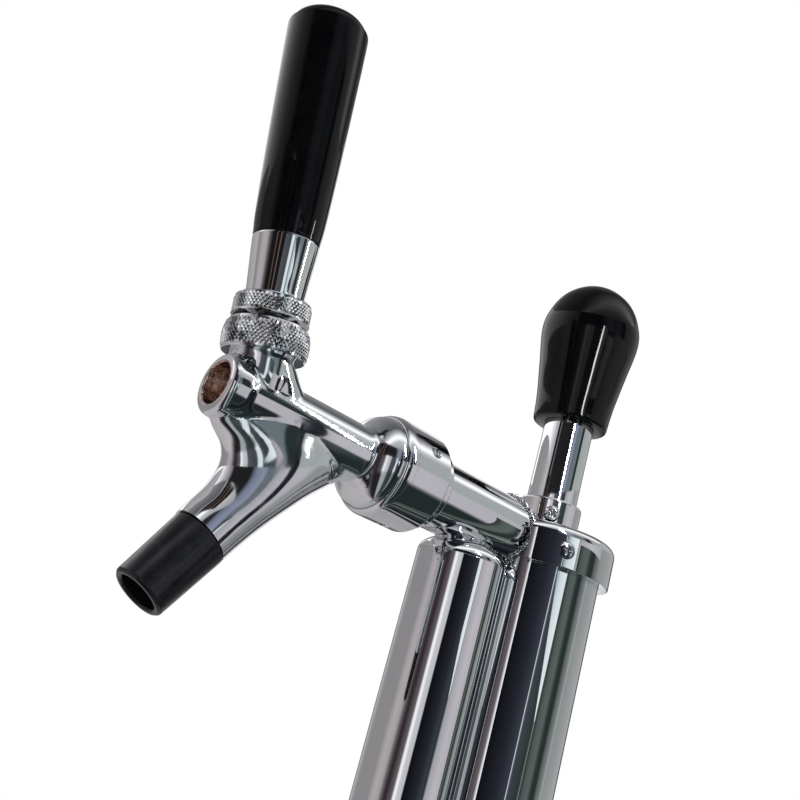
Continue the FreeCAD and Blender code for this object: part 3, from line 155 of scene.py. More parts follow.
floor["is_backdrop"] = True


def card_paint(name, stops, axis, low_end, high_end, rim_stops=None):
    """Glowing paint in bands along one axis of the card, or round it where the axis is 'turn'.
    A floor's bands pass into those of its rim, so that no edge shows where the ring stands on it."""
    paint = bpy.data.materials.new(name)
    paint.use_nodes = True
    nodes, links = paint.node_tree.nodes, paint.node_tree.links
    nodes.clear()
    place = nodes.new("ShaderNodeTexCoord")
    split = nodes.new("ShaderNodeSeparateXYZ")
    spread = nodes.new("ShaderNodeMapRange")
    spread.inputs["From Min"].default_value = low_end
    spread.inputs["From Max"].default_value = high_end
    links.new(place.outputs["Object"], split.inputs[0])
    if axis == "turn":
        flip = nodes.new("ShaderNodeMath")
        flip.operation = "MULTIPLY"
        flip.inputs[1].default_value = -1
        around = nodes.new("ShaderNodeMath")
        around.operation = "ARCTAN2"
        links.new(split.outputs["Y"], flip.inputs[0])
        links.new(split.outputs["X"], around.inputs[0])
        links.new(flip.outputs[0], around.inputs[1])
        links.new(around.outputs[0], spread.inputs["Value"])
    else:
        links.new(split.outputs[axis], spread.inputs["Value"])
    painted = []
    for run in (stops, rim_stops) if rim_stops else (stops,):
        bands = nodes.new("ShaderNodeValToRGB")
        marks = bands.color_ramp.elements
        while len(marks) < len(run):
            marks.new(1.0)
        for mark, (spot, colour) in zip(marks, run):
            mark.position = spot
            mark.color = (*colour, 1)
        links.new(spread.outputs["Result"], bands.inputs["Fac"])
        painted.append(bands.outputs["Color"])
    glow = nodes.new("ShaderNodeEmission")
    output = nodes.new("ShaderNodeOutputMaterial")
    if rim_stops:
        reach = nodes.new("ShaderNodeVectorMath")
        reach.operation = "LENGTH"
        outward = nodes.new("ShaderNodeMapRange")
        outward.interpolation_type = "SMOOTHSTEP"
        outward.inputs["From Min"].default_value = 0.75
        outward.inputs["From Max"].default_value = 1.38
        blend = nodes.new("ShaderNodeMix")
        blend.data_type = "RGBA"
        links.new(place.outputs["Object"], reach.inputs[0])
        links.new(reach.outputs["Value"], outward.inputs["Value"])
        links.new(outward.outputs["Result"], blend.inputs["Factor"])
        links.new(painted[0], blend.inputs[6])
        links.new(painted[1], blend.inputs[7])
        painted = [blend.outputs[2]]
    links.new(painted[0], glow.inputs["Color"])
    links.new(glow.outputs[0], output.inputs[0])
    return paint


def only_in_reflections(card):
    """Card of the studio that polished surfaces mirror and the camera doesn't see"""
    card.visible_camera = False
    card.visible_diffuse = False
    card.visible_shadow = False
    card.visible_transmission = False
    card.visible_volume_scatter = False
    card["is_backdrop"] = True


# The cards stand in two rings, one above the other, painted in bands by angle from straight
# ahead of the faucet, turning to the right. The tubes show the lower ring, the handle the upper.
low_bands = [
    (-166, (0.42, 0.42, 0.42)), (-162, (0.03, 0.03, 0.035)), (-148, (0.05, 0.05, 0.06)),
    (-145, (0.90, 0.91, 0.93)), (-136, (0.95, 0.95, 0.96)), (-132, (0.14, 0.14, 0.15)),
    (-118, (0.05, 0.05, 0.055)), (-108, (0.52, 0.52, 0.53)), (-84, (0.30, 0.29, 0.295)),
    (-34, (0.31, 0.295, 0.30)), (-24, (0.455, 0.42, 0.43)), (-17, (0.50, 0.46, 0.475)),
    (-6, (0.44, 0.40, 0.41)), (0, (0.17, 0.15, 0.155)), (6, (0.06, 0.05, 0.055)), (11, (0.03, 0.02, 0.026)),
    (26, (0.16, 0.14, 0.15)), (29.5, (1.05, 1.05, 1.08)), (34, (1.0, 1.0, 1.02)), (36, (0.68, 0.67, 0.70)),
    (46, (0.62, 0.62, 0.65)), (48, (0.10, 0.11, 0.12)), (68, (0.06, 0.065, 0.08)),
    (70.5, (0.85, 0.93, 0.95)), (77.5, (0.90, 0.97, 0.98)), (79, (0.06, 0.07, 0.085)),
    (97, (0.03, 0.045, 0.04)), (101, (0.44, 0.43, 0.46)), (120, (0.60, 0.57, 0.61)),
    (142, (0.52, 0.50, 0.53)), (148, (0.32, 0.33, 0.33)), (180, (0.40, 0.41, 0.41)),
]
high_bands = [
    (-168, (0.44, 0.46, 0.45)), (-163, (0.03, 0.03, 0.03)), (-150, (0.04, 0.04, 0.04)),
    (-146, (0.90, 0.90, 0.91)), (-134, (0.90, 0.90, 0.91)), (-130, (0.12, 0.12, 0.13)),
    (-118, (0.20, 0.20, 0.21)), (-105, (1.20, 1.20, 1.21)), (-60, (1.45, 1.42, 1.45)),
    (-38, (1.15, 1.10, 1.14)), (-18, (0.62, 0.58, 0.61)), (2, (0.30, 0.28, 0.30)),
    (10, (0.02, 0.018, 0.018)), (60, (0.015, 0.015, 0.018)), (70, (0.22, 0.24, 0.33)),
    (86, (0.30, 0.33, 0.44)), (90, (0.16, 0.19, 0.21)), (111, (0.18, 0.21, 0.23)),
    (114, (0.02, 0.03, 0.03)), (123, (0.02, 0.03, 0.03)), (127, (0.42, 0.45, 0.44)),
    (176, (0.48, 0.50, 0.49)), (180, (0.44, 0.46, 0.45)),
]
for name, bands, foot, top in (("card_ring_low", low_bands, -0.3, 0.65),
                               ("card_ring_high", high_bands, 0.65, 1.3)):
    nothing_selected()
    bpy.ops.mesh.primitive_cylinder_add(vertices=128, radius=1.4, depth=top - foot, end_fill_type="NOTHING",
                                        location=(0, 0, (foot + top) / 2))
    ring = bpy.context.object
    ring.name = name
    bpy.ops.object.transform_apply(location=True)
    stops = [((spot + 180) / 360, colour) for spot, colour in bands]
    ring.data.materials.append(card_paint(name + "_paint", stops, "turn", -math.pi, math.pi))
    only_in_reflections(ring)

floor_bands = [
    (-180, (0.40, 0.40, 0.41)), (-130, (0.42, 0.42, 0.42)), (-84, (0.52, 0.49, 0.505)),
    (-34, (0.56, 0.52, 0.54)), (-16, (0.60, 0.56, 0.58)), (-6, (0.42, 0.38, 0.39)),
    (0, (0.17, 0.15, 0.155)), (6, (0.05, 0.04, 0.045)), (11, (0.02, 0.018, 0.02)),
    (27, (0.02, 0.02, 0.022)), (31, (0.42, 0.45, 0.45)), (44, (0.40, 0.44, 0.43)),
    (48, (0.06, 0.07, 0.07)), (68, (0.03, 0.04, 0.04)), (71, (0.24, 0.28, 0.27)), (78, (0.22, 0.26, 0.25)),
    (83, (0.03, 0.042, 0.04)), (97, (0.02, 0.028, 0.027)), (118, (0.018, 0.024, 0.024)),
    (122, (0.07, 0.09, 0.085)), (127, (0.02, 0.03, 0.028)), (160, (0.02, 0.03, 0.028)),
    (180, (0.40, 0.40, 0.41)),
]
roof_bands = [
    (0.0, (0.40, 0.40, 0.41)), (0.50, (0.12, 0.12, 0.13)), (0.57, (0.5, 0.5, 0.51)),
    (0.66, (1.4, 1.4, 1.42)), (0.76, (0.6, 0.6, 0.61)), (1.0, (0.36, 0.37, 0.37)),
]
floor_stops = [((spot + 180) / 360, colour) for spot, colour in floor_bands]
rim_stops = [((spot + 180) / 360, colour) for spot, colour in low_bands]
for name, height, stops, axis, reach, rim in (
    ("card_floor", cad_box[0][2] + 0.0005, floor_stops, "turn", math.pi, rim_stops),
    ("card_roof", 1.3, roof_bands, "X", 1.4, None),
):
    nothing_selected()
    bpy.ops.mesh.primitive_circle_add(vertices=96, radius=1.4, fill_type="NGON", location=(0, 0, height))
    sheet = bpy.context.object
    sheet.name = name
    bpy.ops.object.transform_apply(location=True)
    sheet.data.materials.append(card_paint(name + "_paint", stops, axis, -reach, reach, rim))
    only_in_reflections(sheet)

# A narrow strip light close by draws the crisp line down the knob, and a wedge of light the
# streak below the cap. Three flags stand close on the right: they darken what the cylinder and
# the ferrule see, and leave the column its light. A fourth one greys the rod's left side.
deep_blue = [(0.0, (0.006, 0.006, 0.008)), (0.5, (0.022, 0.024, 0.034)), (1.0, (0.05, 0.056, 0.075))]
dark_green = [
    (0.0, (0.025, 0.036, 0.033)), (0.12, (0.10, 0.125, 0.115)), (0.27, (0.12, 0.147, 0.135)),
    (0.40, (0.03, 0.042, 0.038)), (0.56, (0.026, 0.036, 0.033)), (0.66, (0.12, 0.145, 0.135)),
    (0.80, (0.19, 0.21, 0.20)), (1.0, (0.28, 0.30, 0.295)),
]
brown_black = [
    (0.0, (0.012, 0.01, 0.01)), (0.30, (0.012, 0.01, 0.01)), (0.36, (0.16, 0.10, 0.08)),
    (0.42, (0.012, 0.01, 0.01)), (0.60, (0.012, 0.01, 0.01)), (0.66, (0.22, 0.16, 0.13)),
    (0.72, (0.012, 0.01, 0.01)), (1.0, (0.012, 0.012, 0.015)),
]
for name, corners, axis, stops in (
    ("card_strip", ((0.1, 0.0055, 0.296), (0.1, 0.003, 0.318), (0.1, -0.002, 0.345), (0.1, -0.004, 0.374),
                    (0.1, -0.0075, 0.374), (0.1, -0.009, 0.345), (0.1, -0.004, 0.318)),
     "Y", [(0.0, (44, 44, 45)), (1.0, (44, 44, 45))]),
    ("card_flag_rod", ((-0.197, 0.035, 0.272), (-0.197, 0.035, 0.358), (-0.068, -0.188, 0.358),
                       (-0.068, -0.188, 0.272)),
     "X", [(0.0, (0.30, 0.30, 0.30)), (0.6, (0.34, 0.32, 0.33)), (1.0, (0.52, 0.49, 0.50))]),
    ("card_wedge", ((1.3666, 0.192, 0.24), (1.363, 0.216, 0.24), (1.363, 0.216, 0.56),
                    (1.359, -0.240, 0.56), (1.359, -0.240, 0.50)),
     "Y", [(0.0, (0.30, 0.36, 0.40)), (0.4, (0.75, 0.84, 0.87)), (1.0, (0.95, 1.0, 1.0))]),
    ("card_glint", ((0.061, -0.0475, -0.044), (0.070, -0.043, -0.044), (0.065, -0.0455, 0.128)),
     "X", [(0.0, (1.2, 1.2, 1.3)), (1.0, (1.0, 1.0, 1.1))]),
    ("card_flag_near", ((0.056, -0.051, -0.044), (0.150, -0.004, -0.044), (0.150, -0.004, 0.290),
                        (0.056, -0.051, 0.290)), "X", deep_blue),
    ("card_flag_front", ((0.0165, -0.1795, 0.287), (0.058, -0.1562, 0.287), (0.058, -0.1562, 0.345),
                         (0.0165, -0.1795, 0.345)), "X", brown_black),
    ("card_flag_far", ((0.050, 0.037, -0.044), (0.050, 0.076, -0.044), (0.050, 0.076, 0.263),
                       (0.050, 0.037, 0.263)), "Y", dark_green),
):
    nothing_selected()
    bpy.ops.mesh.primitive_circle_add(vertices=len(corners), radius=1, fill_type="NGON")
    card = bpy.context.object
    card.name = name
    for point, corner in zip(card.data.vertices, corners):
        point.co = corner
    ends = [corner["XY".index(axis)] for corner in corners]
    card.data.materials.append(card_paint(name + "_paint", stops, axis, min(ends), max(ends)))
    only_in_reflections(card)

for name, place, size, power, tint in (
    ("top_box", (0.15, -0.2, 1.0), 0.7, 9, (1, 1, 1)),
    ("left_box", (-0.8, -0.5, 0.7), 0.6, 7, (1.0, 0.98, 0.98)),
    ("right_box", (0.9, 0.1, 0.5), 0.5, 5, (0.96, 1.0, 0.99)),
    ("back_box", (-0.2, 0.9, 0.7), 0.6, 5, (1, 1, 1)),
):
    lamp = bpy.data.objects.new(name, bpy.data.lights.new(name, "AREA"))
    lamp.data.size = size
    lamp.data.energy = power
    lamp.data.color = tint
    lamp.location = place
    aim = Vector((0, -0.03, 0.25)) - lamp.location
    lamp.rotation_euler = aim.to_track_quat("-Z", "Y").to_euler()
    bpy.context.scene.collection.objects.link(lamp)
    lamp.visible_glossy = False


# Coupler base. A turned and chromed brass ring that the keg's neck takes: a spigot with two
# bayonet lugs, a flange to rest on the neck, and a sleeve for the winged collar to turn on.
def softened(corners, rounding=0.25):
    """Closed outline with its corners rounded. A corner is (radius, height) or (radius, height,
    rounding). Support points beside each rounding keep the flats between them true."""
    points = []
    for turn, corner in enumerate(corners):
        here = Vector(corner[:2])
        before = Vector(corners[turn - 1][:2]) - here
        after = Vector(corners[(turn + 1) % len(corners)][:2]) - here
        size = corner[2] if len(corner) > 2 else rounding
        opening = before.angle(after)
        if here.x < 1e-6 or size == 0 or opening > math.radians(176):
            points.append(tuple(here))
            continue
        reach = min(size / math.tan(opening / 2), 0.42 * before.length, 0.42 * after.length)
        radius = reach * math.tan(opening / 2)
        middle = here + (before.normalized()
                         + after.normalized()).normalized() * radius / math.sin(opening / 2)
        spoke = here + before.normalized() * reach - middle
        sweep = math.pi - opening
        side = 1 if before.cross(after) < 0 else -1
        count = max(2, math.ceil(sweep / math.radians(15)))
        points.append(tuple(here + before.normalized() * (reach + min(0.08, 0.06 * before.length))))
        for step in range(count + 1):
            swung = Matrix.Rotation(side * sweep * step / count, 2) @ spoke
            points.append(tuple(middle + swung))
        points.append(tuple(here + after.normalized() * (reach + min(0.08, 0.06 * after.length))))
    return points


def stood(piece, place, tilt=(0, 0, 0)):
    """Turn a piece, move it to its place in millimetres, and leave that place in its mesh"""
    nothing_selected()
    piece.select_set(True)
    bpy.context.view_layer.objects.active = piece
    piece.rotation_euler = tilt
    piece.location = Vector(place) * MM
    bpy.ops.object.transform_apply(location=True, rotation=True, scale=True)
    return piece


def turned(name, outline, place=(0, 0, 0), tilt=(0, 0, 0), steps=128, sweep=360):
    """Piece spun on a lathe from an outline of (radius, height) points in millimetres"""
    nothing_selected()
    bpy.ops.mesh.primitive_plane_add(size=MM)
    piece = bpy.context.object
    piece.name = name
    bpy.ops.object.mode_set(mode="EDIT")
    bpy.ops.mesh.select_mode(type="VERT")
    bpy.ops.mesh.select_all(action="SELECT")
    bpy.ops.mesh.merge(type="CENTER")
    bpy.ops.transform.translate(value=(outline[0][0] * MM, 0, outline[0][1] * MM))
    closing = [] if outline[0][0] < 1e-6 and outline[-1][0] < 1e-6 else outline[:1]
    for (radius, height), (wider, higher) in zip(outline, outline[1:] + closing):
        bpy.ops.mesh.extrude_region_move(
            TRANSFORM_OT_translate={"value": ((wider - radius) * MM, 0, (higher - height) * MM)})
    bpy.ops.mesh.select_all(action="SELECT")
    bpy.ops.mesh.spin(steps=steps, angle=math.radians(sweep), center=(0, 0, 0), axis=(0, 0, 1))
    bpy.ops.mesh.select_all(action="SELECT")
    bpy.ops.mesh.remove_doubles(threshold=2e-7)
    if sweep < 360:
        bpy.ops.mesh.select_all(action="DESELECT")
        bpy.ops.mesh.select_non_manifold()
        bpy.ops.mesh.edge_face_add()
        bpy.ops.mesh.select_all(action="SELECT")
    bpy.ops.mesh.normals_make_consistent(inside=False)
    bpy.ops.object.mode_set(mode="OBJECT")
    return stood(piece, place, tilt)


def smooth(piece, angle=32):
    """Smooth shading, with edges sharper than the angle kept crisp"""
    nothing_selected()
    piece.select_set(True)
    bpy.context.view_layer.objects.active = piece
    bpy.ops.object.shade_smooth_by_angle(angle=math.radians(angle))
    return piece


def joined(pieces, name=None):
    """One piece out of several, under the given name or the first one's"""
    nothing_selected()
    for piece in pieces:
        piece.select_set(True)
    bpy.context.view_layer.objects.active = pieces[0]
    bpy.ops.object.join()
    pieces[0].name = name or pieces[0].name
    return pieces[0]


def trimmed(piece, tool, how="DIFFERENCE"):
    """Cut a piece by a tool, or weld the tool on with how='UNION'; the tool is used up"""
    nothing_selected()
    piece.select_set(True)
    bpy.context.view_layer.objects.active = piece
    step = piece.modifiers.new("trim", "BOOLEAN")
    step.object = tool
    step.operation = how
    step.solver = "EXACT"
    step.material_mode = "TRANSFER"
    bpy.ops.object.modifier_apply(modifier=step.name)
    bpy.data.objects.remove(tool)
    return piece


def block(name, low_corner, high_corner, rounding=0.0, steps=3):
    """Box between two corners in millimetres, its edges bevelled"""
    nothing_selected()
    bpy.ops.mesh.primitive_cube_add(size=1)
    piece = bpy.context.object
    piece.name = name
    low_corner, high_corner = Vector(low_corner), Vector(high_corner)
    piece.scale = (high_corner - low_corner) * MM
    piece.location = (low_corner + high_corner) / 2 * MM
    bpy.ops.object.transform_apply(location=True, scale=True)
    if rounding:
        bpy.ops.object.mode_set(mode="EDIT")
        bpy.ops.mesh.select_all(action="SELECT")
        bpy.ops.mesh.bevel(offset=rounding * MM, segments=steps, affect="EDGES")
        bpy.ops.object.mode_set(mode="OBJECT")
    return piece


def new_group(name, inputs, outputs):
    """Shader group with named inputs (name, kind, value) and outputs (name, kind)"""
    group = bpy.data.node_groups.new(name, "ShaderNodeTree")
    for label, kind, value in inputs:
        socket = group.interface.new_socket(label, in_out="INPUT", socket_type="NodeSocket" + kind)
        socket.default_value = value
    for label, kind in outputs:
        group.interface.new_socket(label, in_out="OUTPUT", socket_type="NodeSocket" + kind)
    return group, group.nodes.new("NodeGroupInput"), group.nodes.new("NodeGroupOutput")


def mapped(group, source, stretch=(1, 1, 1)):
    """Point in the piece's own space times a scale, for a texture's Vector"""
    grow = group.nodes.new("ShaderNodeVectorMath")
    grow.operation = "MULTIPLY"
    grow.inputs[1].default_value = stretch
    group.links.new(source, grow.inputs[0])
    return grow.outputs[0]


# What handling leaves on plate and gloss: soft smudges and fine hairline scratches.
handling, given, result = new_group(
    "handling_marks",
    [("Smudge Size", "Float", 60.0), ("Smudges", "Float", 0.05), ("Scratches", "Float", 0.04),
     ("Base Roughness", "Float", 0.04)], [("Roughness", "Float"), ("Height", "Float")])
place = handling.nodes.new("ShaderNodeTexCoord")
blot = handling.nodes.new("ShaderNodeTexNoise")
blot.inputs["Detail"].default_value = 4
blot.inputs["Roughness"].default_value = 0.62
handling.links.new(place.outputs["Object"], blot.inputs["Vector"])
handling.links.new(given.outputs["Smudge Size"], blot.inputs["Scale"])
patch = handling.nodes.new("ShaderNodeMapRange")
patch.interpolation_type = "SMOOTHSTEP"
patch.inputs["From Min"].default_value = 0.5
patch.inputs["From Max"].default_value = 0.78
handling.links.new(blot.outputs["Fac"], patch.inputs["Value"])
hair = handling.nodes.new("ShaderNodeTexNoise")
hair.inputs["Scale"].default_value = 1.0
hair.inputs["Detail"].default_value = 2
handling.links.new(mapped(handling, place.outputs["Object"], (2600, 2100, 90)), hair.inputs["Vector"])
line = handling.nodes.new("ShaderNodeMapRange")
line.inputs["From Min"].default_value = 0.66
line.inputs["From Max"].default_value = 0.74
handling.links.new(hair.outputs["Fac"], line.inputs["Value"])
smudged = handling.nodes.new("ShaderNodeMath")
smudged.operation = "MULTIPLY_ADD"
handling.links.new(patch.outputs["Result"], smudged.inputs[0])
handling.links.new(given.outputs["Smudges"], smudged.inputs[1])
handling.links.new(given.outputs["Base Roughness"], smudged.inputs[2])
scratched = handling.nodes.new("ShaderNodeMath")
scratched.operation = "MULTIPLY_ADD"
handling.links.new(line.outputs["Result"], scratched.inputs[0])
handling.links.new(given.outputs["Scratches"], scratched.inputs[1])
handling.links.new(smudged.outputs[0], scratched.inputs[2])
handling.links.new(scratched.outputs[0], result.inputs["Roughness"])
dents = handling.nodes.new("ShaderNodeMath")
dents.operation = "MULTIPLY_ADD"
dents.inputs[1].default_value = -0.25
handling.links.new(line.outputs["Result"], dents.inputs[0])
handling.links.new(blot.outputs["Fac"], dents.inputs[2])
handling.links.new(dents.outputs[0], result.inputs["Height"])


def handled_material(name, colour, metallic, roughness, smudges, scratches, relief, size=60.0,
                     specular=0.5, tint=None):
    """Material whose gloss carries the handling marks. The tint varies the colour in patches."""
    paint = bpy.data.materials.new(name)
    paint.use_nodes = True
    nodes, links = paint.node_tree.nodes, paint.node_tree.links
    shader = nodes["Principled BSDF"]
    shader.inputs["Base Color"].default_value = (*colour, 1)
    shader.inputs["Metallic"].default_value = metallic
    shader.inputs["Specular IOR Level"].default_value = specular
    marks = nodes.new("ShaderNodeGroup")
    marks.node_tree = handling
    marks.inputs["Smudge Size"].default_value = size
    marks.inputs["Smudges"].default_value = smudges
    marks.inputs["Scratches"].default_value = scratches
    marks.inputs["Base Roughness"].default_value = roughness
    bump = nodes.new("ShaderNodeBump")
    bump.inputs["Strength"].default_value = 1.0
    bump.inputs["Distance"].default_value = relief
    links.new(marks.outputs["Roughness"], shader.inputs["Roughness"])
    links.new(marks.outputs["Height"], bump.inputs["Height"])
    links.new(bump.outputs["Normal"], shader.inputs["Normal"])
    if tint:
        where = nodes.new("ShaderNodeTexCoord")
        cloud = nodes.new("ShaderNodeTexNoise")
        cloud.inputs["Scale"].default_value = size * 1.7
        cloud.inputs["Detail"].default_value = 3
        spread = nodes.new("ShaderNodeMapRange")
        spread.inputs["From Min"].default_value = 0.35
        spread.inputs["From Max"].default_value = 0.7
        blend = nodes.new("ShaderNodeMix")
        blend.data_type = "RGBA"
        blend.inputs[6].default_value = (*colour, 1)
        blend.inputs[7].default_value = (*tint, 1)
        links.new(where.outputs["Object"], cloud.inputs["Vector"])
        links.new(cloud.outputs["Fac"], spread.inputs["Value"])
        links.new(spread.outputs["Result"], blend.inputs[0])
        links.new(blend.outputs[2], shader.inputs["Base Color"])
    return paint


def finished(piece, paint, body, slot, *nodes):
    """Give a piece its material, the body it rides on and the solids it stands for. The slot argument is
    not used.
    """
    if paint:
        piece.data.materials.clear()
        piece.data.materials.append(paint)
    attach(piece, body)
    if nodes:
        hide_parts(*nodes)
    return piece


polished_chrome = handled_material("polished_chrome", (0.80, 0.82, 0.83), 1.0, 0.025, 0.05, 0.05, 0.0000015,
                                   tint=(0.74, 0.76, 0.78))
cast_chrome = handled_material("cast_chrome", (0.79, 0.81, 0.82), 1.0, 0.075, 0.06, 0.04, 0.000006,
                               size=90.0, tint=(0.72, 0.74, 0.76))

base = turned("coupler_base", softened([
    (17.08, -14), (24.8, -14, 0.6), (24.8, 0, 0.15), (31.5, 0, 0.4), (31.5, 6, 0.8), (22.5, 6, 0.3),
    (22.5, 25.95, 0.1), (21.25, 25.95, 0.1), (21.25, 27.45, 0.1), (22.5, 27.45, 0.1), (22.5, 30, 0.7),
    (17.08, 30, 0.5),
]))
for side in (0, 180):
    lug = turned("lug", softened([(23.5, -14), (28.5, -14, 0.8), (28.5, -9, 0.8), (23.5, -9)]), steps=24,
                 sweep=42)
    stood(lug, (0, 0, 0), (0, 0, math.radians(side - 21)))
    trimmed(base, lug, "UNION")
for side in (1, -1):
    trimmed(base, block("keyway", (-2.8, side * 17.65 - 1.65, 1.7), (2.8, side * 17.65 + 1.65, 31)))
finished(smooth(base), polished_chrome, "keg_lock", "chrome", "lug_base")


# Neck seal and snap ring. A soft rubber ring seals the base to the keg's neck, and a split
# spring-steel ring in the sleeve's groove holds the winged collar on.
soft_rubber = handled_material("soft_rubber", (0.022, 0.022, 0.023), 0.0, 0.55, 0.12, 0.05, 0.00004,
                               size=240.0, tint=(0.034, 0.033, 0.032))
bright_steel = handled_material("bright_steel", (0.60, 0.61, 0.62), 1.0, 0.20, 0.10, 0.12, 0.000006,
                                size=120.0, tint=(0.54, 0.55, 0.57))
seal = turned("keg_neck_seal", softened([(20, -15.2, 0.5), (23, -15.2, 0.5), (23, -12.85), (20, -12.85)]),
              steps=96)
finished(smooth(seal), soft_rubber, "keg_lock", "rubber", "neck_seal")

keeper = turned("collar_snap_ring", softened([(21.3, 26), (23.7, 26), (23.7, 27.4), (21.3, 27.4)], 0.2),
                steps=96, sweep=350)
stood(keeper, (0, 0, 0), (0, 0, math.radians(5)))
finished(smooth(keeper), bright_steel, "keg_lock", "stainless", "snap_ring")


# Winged collar. A brass casting with two pierced wings, its edges rounded by the mould and by
# polishing before it was chromed. Turning it drives the stem down into the keg.
def cast_over(piece, grain, passes):
    """Run a piece's overlapping shapes into one skin, with their joins and edges softened"""
    nothing_selected()
    piece.select_set(True)
    bpy.context.view_layer.objects.active = piece
    skin = piece.modifiers.new("skin", "REMESH")
    skin.mode = "VOXEL"
    skin.voxel_size = grain * MM
    bpy.ops.object.modifier_apply(modifier=skin.name)
    polish = piece.modifiers.new("polish", "SMOOTH")
    polish.factor = 0.5
    polish.iterations = passes
    bpy.ops.object.modifier_apply(modifier=polish.name)
    return piece


def picked(piece, kind, wanted):
    """Enter edit mode with only the wanted points, edges or faces of the active piece selected"""
    bpy.ops.object.mode_set(mode="EDIT")
    bpy.ops.mesh.select_mode(type=kind)
    bpy.ops.mesh.select_all(action="DESELECT")
    bpy.ops.object.mode_set(mode="OBJECT")
    mesh = piece.data
    for part in {"VERT": mesh.vertices, "EDGE": mesh.edges, "FACE": mesh.polygons}[kind]:
        part.select = wanted(part)
    bpy.ops.object.mode_set(mode="EDIT")


def egg_plate(name, wide, narrow, apart, thickness, rounding):
    """Plate with one large and one small round end and straight sides, lying flat at the origin"""
    nothing_selected()
    bpy.ops.mesh.primitive_circle_add(vertices=96, radius=wide * MM, fill_type="NGON")
    piece = bpy.context.object
    piece.name = name
    picked(piece, "VERT", lambda point: point.co.x > 1e-6)
    bpy.ops.transform.resize(value=(narrow / wide,) * 3, center_override=(0, 0, 0))
    bpy.ops.transform.translate(value=(apart * MM, 0, 0))
    bpy.ops.mesh.select_all(action="SELECT")
    bpy.ops.mesh.extrude_region_move(TRANSFORM_OT_translate={"value": (0, 0, thickness * MM)})
    bpy.ops.mesh.select_all(action="SELECT")
    bpy.ops.mesh.normals_make_consistent(inside=False)
    bpy.ops.object.mode_set(mode="OBJECT")
    height = [point.co.z for point in piece.data.vertices]
    picked(piece, "EDGE", lambda edge: abs(height[edge.vertices[0]] - height[edge.vertices[1]]) < 1e-7)
    bpy.ops.mesh.bevel(offset=rounding * MM, segments=4, affect="EDGES")
    bpy.ops.object.mode_set(mode="OBJECT")
    return piece


collar = turned("winged_collar", softened([(0, 6.3), (28, 6.3, 1), (28, 38, 0), (26.83, 42.83, 1.5),
                                           (24, 44, 1), (0, 44)]))
for side in (0, 180):
    wing = egg_plate("wing", 11, 9, 49, 8, 2.4)
    stood(wing, (0, 4, 20), (math.radians(90), 0, 0))
    stood(wing, (0, 0, 0), (0, 0, math.radians(side)))
    joined([collar, wing])
cast_over(collar, 0.6, 12)
for side in (0, 180):
    eye = turned("eye", [(0, -6), (8, -6), (8, -4.2), (6.3, -3.85), (5.35, -3.1), (5, -2), (5, 2),
                         (5.35, 3.1), (6.3, 3.85), (8, 4.2), (8, 6), (0, 6)], (49, 0, 20),
                         (math.radians(90), 0, 0), steps=64)
    trimmed(collar, stood(eye, (0, 0, 0), (0, 0, math.radians(side))))
trimmed(collar, turned("bores", [(0, 5), (23.4, 5), (22.58, 6.9), (22.58, 25.7), (24, 25.7), (24, 27.7),
                                 (22.58, 27.7), (22.58, 30.3), (19.58, 30.3), (19.58, 43.2), (20.6, 45),
                                 (0, 45)]))
finished(smooth(collar, 40), cast_chrome, "turning_collar", "chrome", "wing_collar")


# Manifold. The cast and chromed foot of the pump: an egg-shaped block under both tubes, with a
# threaded stem below that slides in the coupler's base, and a boss for the relief valve.
PUMP_Y = 42.35
PUMP_AXIS = (0, PUMP_Y, 0)
foot = egg_plate("pump_foot", 28.6, 20.05, PUMP_Y, 15, 2)
stood(foot, (0, PUMP_Y, 47), (0, 0, math.radians(-90)))
stem = turned("stem", softened([
    (5, -8), (12.55, -8, 0.3), (12.55, -1, 0.2), (15.5, -1, 0.2), (15.5, -8, 0.2), (17, -8, 0.5),
    (17, -5.9, 0.1), (14.65, -5.9, 0.1), (14.65, -3, 0.1), (17, -3, 0.1), (17, -1.9, 0.1),
    (14.65, -1.9, 0.1), (14.65, 1, 0.1), (17, 1, 0.1), (17, 32), (18.5, 32, 0.3), (19.5, 33, 0.3),
    (19.5, 34.6, 0.1), (18.9, 35.2, 0.1), (19.5, 35.8, 0.1), (19.5, 38.6, 0.1),
    (18.9, 39.2, 0.1), (19.5, 39.8, 0.1), (19.5, 42.6, 0.1), (18.9, 43.2, 0.1), (19.5, 43.8, 0.1),
    (19.5, 45.4, 0.3), (18.9, 46.2, 0.3), (19.2, 48), (5, 48),
], 0.1))
boss = turned("boss", softened([(0, 8), (7, 8), (7, 26.5, 0.4), (0, 26.5)]), (0, 21, 54),
              (0, math.radians(90), 0), steps=64)
column_plug = turned("column_plug", softened([(0, 61), (15.3, 61), (15.3, 72, 1), (0, 72)]), steps=96)
pump_plug = turned("pump_plug", softened([(0, 61), (23.85, 61), (23.85, 72, 1), (0, 72)]), PUMP_AXIS,
                   steps=96)
for lump in (boss, column_plug, pump_plug, stem):
    trimmed(foot, lump, "UNION")
for side in (1, -1):
    trimmed(foot, block("key", (-2.5, side * 17.5 - 1.5, 2), (2.5, side * 17.5 + 1.5, 21), 0.3, 2), "UNION")
trimmed(foot, turned("beer_way", [(0, -9), (5, -9), (5, 66), (4.8, 66), (4.8, 73), (0, 73)], steps=48))
finished(smooth(foot), cast_chrome, "tap", "chrome", "manifold")


